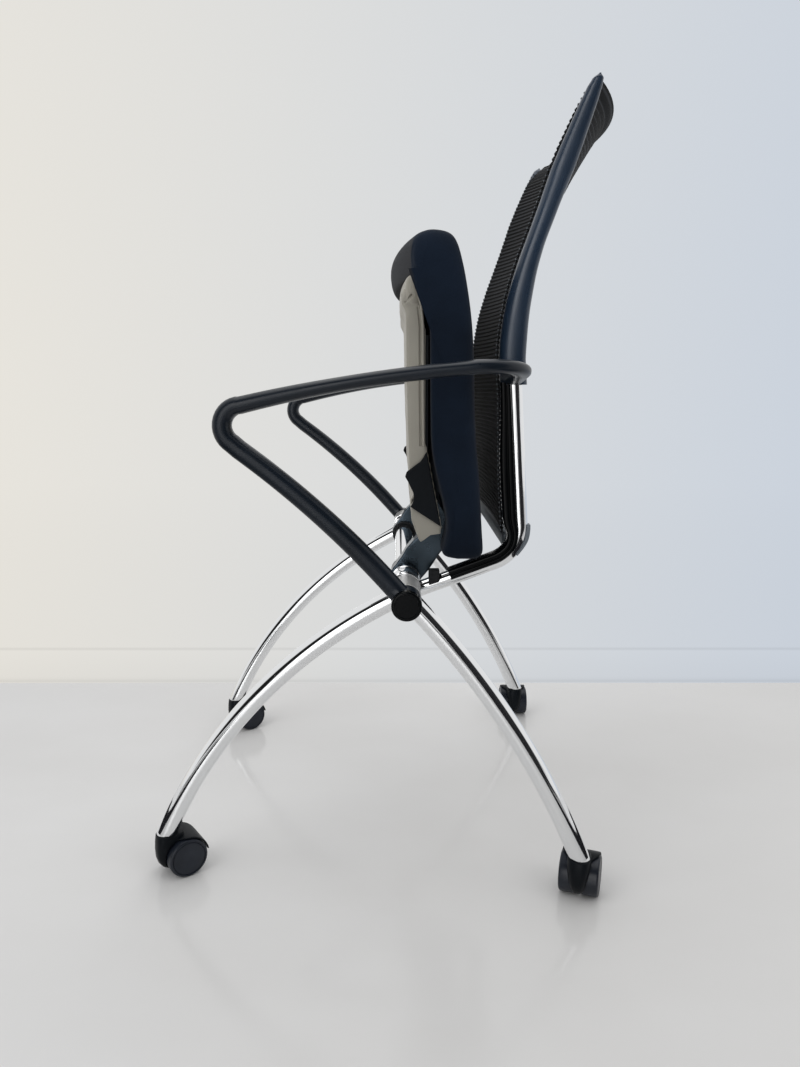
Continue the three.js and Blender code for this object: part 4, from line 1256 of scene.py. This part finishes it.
class CHAIR_OT_seat_pan(bpy.types.Operator):
    """Adds the seat shell and its side covers, and finishes its board"""

    bl_idname = "chair.seat_pan"
    bl_label = "Seat pan"

    def execute(self, context):
        shell_voxel, cover_voxel = 0.0022, 0.0007
        shell = moulded("seat_shell", shell_voxel, 4)
        boolean(shell, self.hood(), "UNION")
        self.trim_sides(shell)
        finished(shell, "moulded_pan", "shell_grey", "seat", ["seat_shell"], 60)
        cover = moulded("side_cover_left", cover_voxel, 4)
        finish_pair(cover, "hinge_cover", "matt_black", "side_cover", "seat", 60)
        refinish("seat_board", "matt_black")
        return {"FINISHED"}

    def trim_sides(self, shell):
        """Lip and groove along each side, a slot, and room in front of the goosenecks."""
        lip_line = (
            (0.0535, 0.558), (0.0525, 0.62), (0.0522, 0.70), (0.050, 0.722), (0.0455, 0.742), (0.041, 0.752)
        )
        groove_gap = 0.0038
        groove_line = [(y - groove_gap, z) for y, z in lip_line[:-1]]
        slot_line = ((0.0305, 0.7275), (0.0395, 0.737))
        trims = (
            (lip_line, 0.0004, 0.0016, "UNION"),
            (groove_line, 0.0008, 0.0018, "DIFFERENCE"),
            (slot_line, 0.003, 0.0022, "DIFFERENCE"),
        )
        for line, sink, radius, operation in trims:
            trim = tube([Vector((SHELL_HIGH.x - sink, y, z)) for y, z in line], radius, 12)
            boolean_pair(shell, trim, operation)
        relief_start, relief_width = 0.142, 0.07
        relief_line = (
            (0.0, 0.40), (0.09, 0.40), (0.0849, 0.451), (0.0628, 0.448), (0.0328, 0.4255), (0.02, 0.41)
        )
        relief = plate([Vector((relief_start, y, z)) for y, z in relief_line], relief_width)
        boolean_pair(shell, relief, "DIFFERENCE")

    def hood(self):
        """Rounded bar over the front of the pan, a little fuller at its middle."""
        half, steps, edge = SHELL_HIGH.x - 0.003, 28, 0.007
        rings = []
        for i in range(steps + 1):
            station = math.sin(math.pi / 2 * (2 * i / steps - 1))
            full = 1 - station**2
            rounding = corner_inset(edge, half, station * half) * 0.8
            front, back = SHELL_LOW.y + 0.006 - 0.0075 * full, SHELL_LOW.y + 0.026
            low, high = SHELL_HIGH.z - 0.026, SHELL_HIGH.z + 0.013 + 0.005 * full
            centre = Vector((station * half, (front + back) / 2, (low + high) / 2))
            depth, height = (back - front) / 2 - rounding, (high - low) / 2 - rounding
            rings.append(section(centre, Y_AXIS, Z_AXIS, depth, height, 28, 3.2))
        return swept(rings)


CUSHION_SETBACK = 0.027
CUSHION_DEPTH = 0.066
CUSHION_LENGTH = 0.386
# Side view of the cushion: shares of its depth and of its length
CUSHION_OUTLINE = (
    (0.21, 0.013), (0.32, 0.106), (0.17, 0.228), (0.023, 0.352), (0.005, 0.505), (0, 0.624), (0, 0.712),
    (-0.03, 0.79), (-0.09, 0.852), (-0.2, 0.884), (-0.35, 0.889), (-0.49, 0.888), (-0.6, 0.885),
    (-0.675, 0.905), (-0.71, 0.943), (-0.655, 0.98), (-0.44, 1.006), (-0.121, 1.018), (0.13, 1.02),
    (0.38, 1.008), (0.53, 0.972), (0.655, 0.9), (0.745, 0.815), (0.795, 0.744), (0.82, 0.655),
    (0.83, 0.505), (0.87, 0.383), (0.93, 0.29), (0.965, 0.228), (1.01, 0.132), (1.045, 0.05), (1.03, 0.01),
    (0.879, -0.006), (0.621, -0.008), (0.47, -0.006),
)
CUSHION_SPINE = (
    (0.65, 0.054), (0.5, 0.26), (0.38, 0.505), (0.35, 0.728), (0.2, 0.896), (-0.26, 0.93), (-0.5, 0.904)
)
POCKET_OUTLINE = (
    (-1.8, -0.9), (0.45, -0.9), (0.45, 0.4), (0.19, 0.57), (-0.13, 0.8), (-0.42, 0.97), (-0.73, 1.25),
    (-1.8, 1.25),
)
SEAM_HEIGHTS = (0.744, 0.755, 0.768, 0.7806, 0.795, 0.82)
SEAM_SETBACKS = (0.006, 0.006, 0.0055, 0.0055, 0.007, 0.0125)


def seam_setback(height):
    """Where the front panel's seam crosses a side, by height."""
    for i in range(len(SEAM_HEIGHTS) - 1):
        if height <= SEAM_HEIGHTS[i + 1]:
            share = (height - SEAM_HEIGHTS[i]) / (SEAM_HEIGHTS[i + 1] - SEAM_HEIGHTS[i])
            return mix(SEAM_SETBACKS[i], SEAM_SETBACKS[i + 1], max(0, share))
    return SEAM_SETBACKS[-1]


def nearest_on(line, point):
    """The nearest place to a point on a run of straight pieces."""
    best = line[0]
    for start, end in zip(line, line[1:]):
        run = end - start
        share = min(1, max(0, (point - start).dot(run) / run.length_squared))
        near = start + run * share
        if (near - point).length < (best - point).length:
            best = near
    return best


def corner_inset(radius, half_width, x):
    past = max(0, abs(x) - (half_width - radius))
    return radius - math.sqrt(max(0, radius**2 - past**2))


class CHAIR_OT_cushion(bpy.types.Operator):
    """Adds the padded cushion, swelled as stuffed cloth"""

    bl_idname = "chair.cushion"
    bl_label = "Cushion"

    def place(self, shares):
        setback = CUSHION_SETBACK + shares[0] * CUSHION_DEPTH
        return spot(0, setback, CUSHION_LOW.z + shares[1] * CUSHION_LENGTH)

    def execute(self, context):
        sizes = settings()[2]
        half_width = CUSHION_HIGH.x
        outline = closed_curve([self.place(shares) for shares in CUSHION_OUTLINE], 3)
        spine = [self.place(shares) for shares in CUSHION_SPINE]
        ends = (
            1.0, 0.998, 0.992, 0.983, 0.972, 0.958, 0.94, 0.91,
            0.87, 0.82, 0.76, 0.68, 0.58, 0.46, 0.32, 0.16,
        )
        stations = [-share for share in ends] + [0] + list(reversed(ends))
        rings = [self.ring(outline, spine, station, half_width, sizes) for station in stations]
        panel = (0.3, 0.55, 0.78, 0.95)
        first = [self.towards(rings[0], spine, share) for share in reversed(panel)]
        last = [self.towards(rings[-1], spine, share) for share in panel]
        cushion = swept(first + rings + last)
        self.swell(cushion)
        self.draw_seams(cushion, sizes, half_width)
        self.cut_pockets(cushion)
        self.mark_front_panel(cushion)
        finished(cushion, "padded_seat", "fabric_navy", "seat", ["seat_cushion"], 80)
        return {"FINISHED"}

    def ring(self, outline, spine, station, half_width, sizes):
        """The outline at one station across the seat, drawn in towards its sides."""
        x = station * half_width
        crown, nose_sweep, nose_rise = 0.007, 0.035, 0.008
        ring = []
        for place in outline:
            point = place.copy()
            inward = nearest_on(spine, point) - point
            u = (place.y - HUB.y - CUSHION_SETBACK) / CUSHION_DEPTH
            v = (place.z - CUSHION_LOW.z) / CUSHION_LENGTH
            edge = sizes.edge * mix(0.35, 1, max(smooth(u, 0.05, 0.3), smooth(v, 0.88, 0.93)))
            inset = corner_inset(edge, half_width, x) + edge * 0.2 * station**8
            point += inward * min(0.93, inset / max(inward.length, 0.0001))
            point.y += nose_sweep * max(0, -u) * station**2
            point.z += nose_rise * (1 - station**2) * smooth(v, 0.85, 0.95)
            point.y += crown * (1 - station**2) * math.sin(math.pi * min(1, v)) * smooth(u, 0.45, 0.7)
            point.z -= corner_inset(sizes.corner, half_width, x) * smooth(v, 0.6, 0.85)
            point.z += corner_inset(sizes.rear_corner, half_width, x) * (1 - smooth(v, 0.03, 0.25))
            point.x = x
            ring.append(point)
        return ring

    def towards(self, ring, spine, share):
        """A ring of a side panel, part of the way in to the spine."""
        inner = []
        for point in ring:
            flat = Vector((0, point.y, point.z))
            near = nearest_on(spine, flat)
            near.x = point.x
            inner.append(point.lerp(near, share))
        return inner

    def swell(self, cushion):
        """Blows the cover up against its foam, and holds it close to its shape."""
        scene = bpy.context.scene
        most = 0.0035
        before = [v.co.copy() for v in cushion.data.vertices]
        pick(cushion)
        bpy.ops.object.modifier_add(type="CLOTH")
        cloth = cushion.modifiers[-1]
        cloth.settings.use_pressure = True
        cloth.settings.uniform_pressure_force = 4
        cloth.settings.effector_weights.gravity = 0
        last_frame = 20
        for number in range(1, last_frame + 1):
            scene.frame_set(number)
        bpy.ops.object.modifier_apply(modifier=cloth.name)
        scene.frame_set(1)
        for vertex, start in zip(cushion.data.vertices, before):
            step = vertex.co - start
            if step.length > most:
                vertex.co = start + step.normalized() * most
        modify(cushion, "SMOOTH", factor=0.5, iterations=2)

    def draw_seams(self, cushion, sizes, half_width):
        """Draws the side in along the seam of the front panel."""
        modify(cushion, "SUBSURF", levels=1, render_levels=1)
        reach = 0.004
        side = half_width - sizes.edge
        for vertex in cushion.data.vertices:
            if abs(vertex.co.x) < side or vertex.co.z < SEAM_HEIGHTS[0]:
                continue
            away = abs(vertex.co.y - HUB.y - seam_setback(vertex.co.z))
            if away < reach:
                vertex.co.x -= math.copysign(sizes.seam_depth * (1 - away / reach), vertex.co.x)

    def cut_pockets(self, cushion):
        """Leaves the room that the goosenecks sweep."""
        size = PIVOT.z - HUB.z
        low, high = across("seat_fork_left")
        room = 0.004
        outline = [Vector((low - room, PIVOT.y + u * size, PIVOT.z + v * size)) for u, v in POCKET_OUTLINE]
        pocket = plate(outline, high - low + 2 * room)
        for cutter in (pocket, mirrored(pocket)):
            boolean(cushion, cutter, "DIFFERENCE", "MANIFOLD")

    def mark_front_panel(self, cushion):
        """Marks what lies in front of the seam, where the finish paints light on the front panel."""
        blend = 0.0012
        mark = cushion.data.attributes.new("front_panel", "FLOAT", "POINT")
        for vertex, value in zip(cushion.data.vertices, mark.data):
            past_seam = vertex.co.y - HUB.y - seam_setback(vertex.co.z)
            ahead = 1 - smooth(past_seam, -blend, blend)
            value.value = ahead if vertex.co.z > SEAM_HEIGHTS[0] else 0


class CHAIR_OT_casters(bpy.types.Operator):
    """Adds the hoods and wheels of the casters"""

    bl_idname = "chair.casters"
    bl_label = "Casters"

    trail = 0.019
    wheel_radius = 0.0255

    def execute(self, context):
        hood = self.hood()
        for caster in CASTERS:
            body = f"caster_{caster}"
            stem, axle = middle(f"{body}_stem"), middle(f"{body}_axle")
            pick(hood)
            bpy.ops.object.duplicate()
            copy = context.object
            copy.rotation_euler.z = math.atan2(axle.y - stem.y, axle.x - stem.x)
            copy.location = (stem.x, stem.y, 0)
            finished(copy, f"hood_{caster}", "matt_black", body, [f"{body}_hood"], 50)
            refinish(f"{body}_stem", "dark_steel")
            refinish(f"{body}_axle", "dark_steel")
            for letter in "ab":
                self.wheel(caster, letter)
        bpy.data.objects.remove(hood)
        return {"FINISHED"}

    def hood(self):
        """A narrow boot that carries a fender over the two wheels, trailing along +X."""
        levels = (
            (0.0577, -0.0125, 0.0125), (0.0565, -0.0140, 0.0140), (0.048, -0.0152, 0.0146),
            (0.038, -0.0160, 0.0135), (0.028, -0.0158, 0.0118), (0.020, -0.0135, 0.0098),
            (0.013, -0.0085, 0.0075), (0.0095, -0.0035, 0.0055),
        )
        back = 0.021
        rings = []
        for height, front, half in levels:
            centre = Vector(((front + back) / 2, 0, height))
            rings.append(section(centre, X_AXIS, Y_AXIS, (back - front) / 2, half, 36, 2.8))
        hood = swept(rings)
        arch = []
        clearance, thick, half_width = 0.001, 0.0022, 0.0232
        inner = self.wheel_radius + clearance
        steps, tapered = 24, 15
        for i in range(steps + 1):
            angle = math.radians(mix(10, 128, i / steps))
            out = Vector((math.cos(angle), 0, math.sin(angle)))
            centre = Vector((self.trail, 0, self.wheel_radius)) + out * (inner + thick / 2)
            width = half_width * mix(0.55, 1, smooth(i, steps, tapered)) if i > tapered else half_width
            arch.append(section(centre, Y_AXIS, out, width, thick / 2, 24, 6))
        boolean(hood, swept(arch), "UNION")
        web, reach = 0.0027, 0.03
        for sign in (1, -1):
            bpy.ops.mesh.primitive_cylinder_add(
                vertices=72, radius=inner, depth=reach, rotation=(math.pi / 2, 0, 0),
                location=(self.trail, sign * (web + reach / 2), self.wheel_radius),
            )
            boolean(hood, settle(bpy.context.object), "DIFFERENCE")
        edge = 0.0006
        return soften_edges(hood, edge, 2, 40)

    def wheel(self, caster, letter):
        """A tyre with a rounded tread and a smooth disc set into its outer face."""
        node = f"caster_{caster}_wheel_{letter}"
        centre, axle = middle(node), middle(f"caster_{caster}_axle")
        outward = Vector((centre.x - axle.x, centre.y - axle.y, 0)).normalized()
        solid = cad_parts[node]
        start = axle + outward * min(
            (solid.matrix_world @ vertex.co - axle).dot(outward) for vertex in solid.data.vertices
        )
        radius, thickness, tread = self.wheel_radius, 0.0213, 0.0028
        profile = [(0, 0)] + quarter_round(0, radius, tread, -1) + quarter_round(thickness, radius, tread)
        face = (
            (0, 0.87), (-0.0011, 0.862), (-0.0011, 0.845), (-0.0002, 0.82), (0.0002, 0.6), (-0.0003, 0.3),
            (-0.0006, 0),
        )
        profile += [(thickness + proud, radius * share) for proud, share in face]
        wheel = turned(profile, start, outward, 56)
        finished(wheel, f"rolling_{caster}_{letter}", "wheel_black", f"wheel_{caster}_{letter}", [node])


class CHAIR_PT_parts(bpy.types.Panel):
    """Lists the chair's pieces in the sidebar"""

    bl_idname = "CHAIR_PT_parts"
    bl_label = "Nesting chair"
    bl_space_type = "VIEW_3D"
    bl_region_type = "UI"
    bl_category = "Chair"

    def draw(self, context):
        for operator in PIECES:
            self.layout.operator(operator.bl_idname)


PIECES = (
    CHAIR_OT_stage,
    CHAIR_OT_hub,
    CHAIR_OT_legs,
    CHAIR_OT_armrests,
    CHAIR_OT_uprights,
    CHAIR_OT_rails,
    CHAIR_OT_net,
    CHAIR_OT_goosenecks,
    CHAIR_OT_seat_pan,
    CHAIR_OT_cushion,
    CHAIR_OT_casters,
)
SETTINGS = {
    "chair_frame": ChairFrameSizes,
    "chair_back": ChairBackSizes,
    "chair_seat": ChairSeatSizes,
    "chair_colours": ChairColours,
}


def register():
    for group in SETTINGS.values():
        bpy.utils.register_class(group)
    for name, group in SETTINGS.items():
        setattr(bpy.types.Scene, name, PointerProperty(type=group))
    for operator in PIECES:
        bpy.utils.register_class(operator)
    bpy.utils.register_class(CHAIR_PT_parts)


def unregister():
    bpy.utils.unregister_class(CHAIR_PT_parts)
    for operator in reversed(PIECES):
        bpy.utils.unregister_class(operator)
    for name, group in SETTINGS.items():
        delattr(bpy.types.Scene, name)
        bpy.utils.unregister_class(group)


def main():
    register()
    bpy.ops.chair.stage()
    bpy.ops.chair.hub()
    bpy.ops.chair.legs()
    bpy.ops.chair.armrests()
    bpy.ops.chair.uprights()
    bpy.ops.chair.rails()
    bpy.ops.chair.net()
    bpy.ops.chair.goosenecks()
    bpy.ops.chair.seat_pan()
    bpy.ops.chair.cushion()
    bpy.ops.chair.casters()


if __name__ == "__main__":
    main()
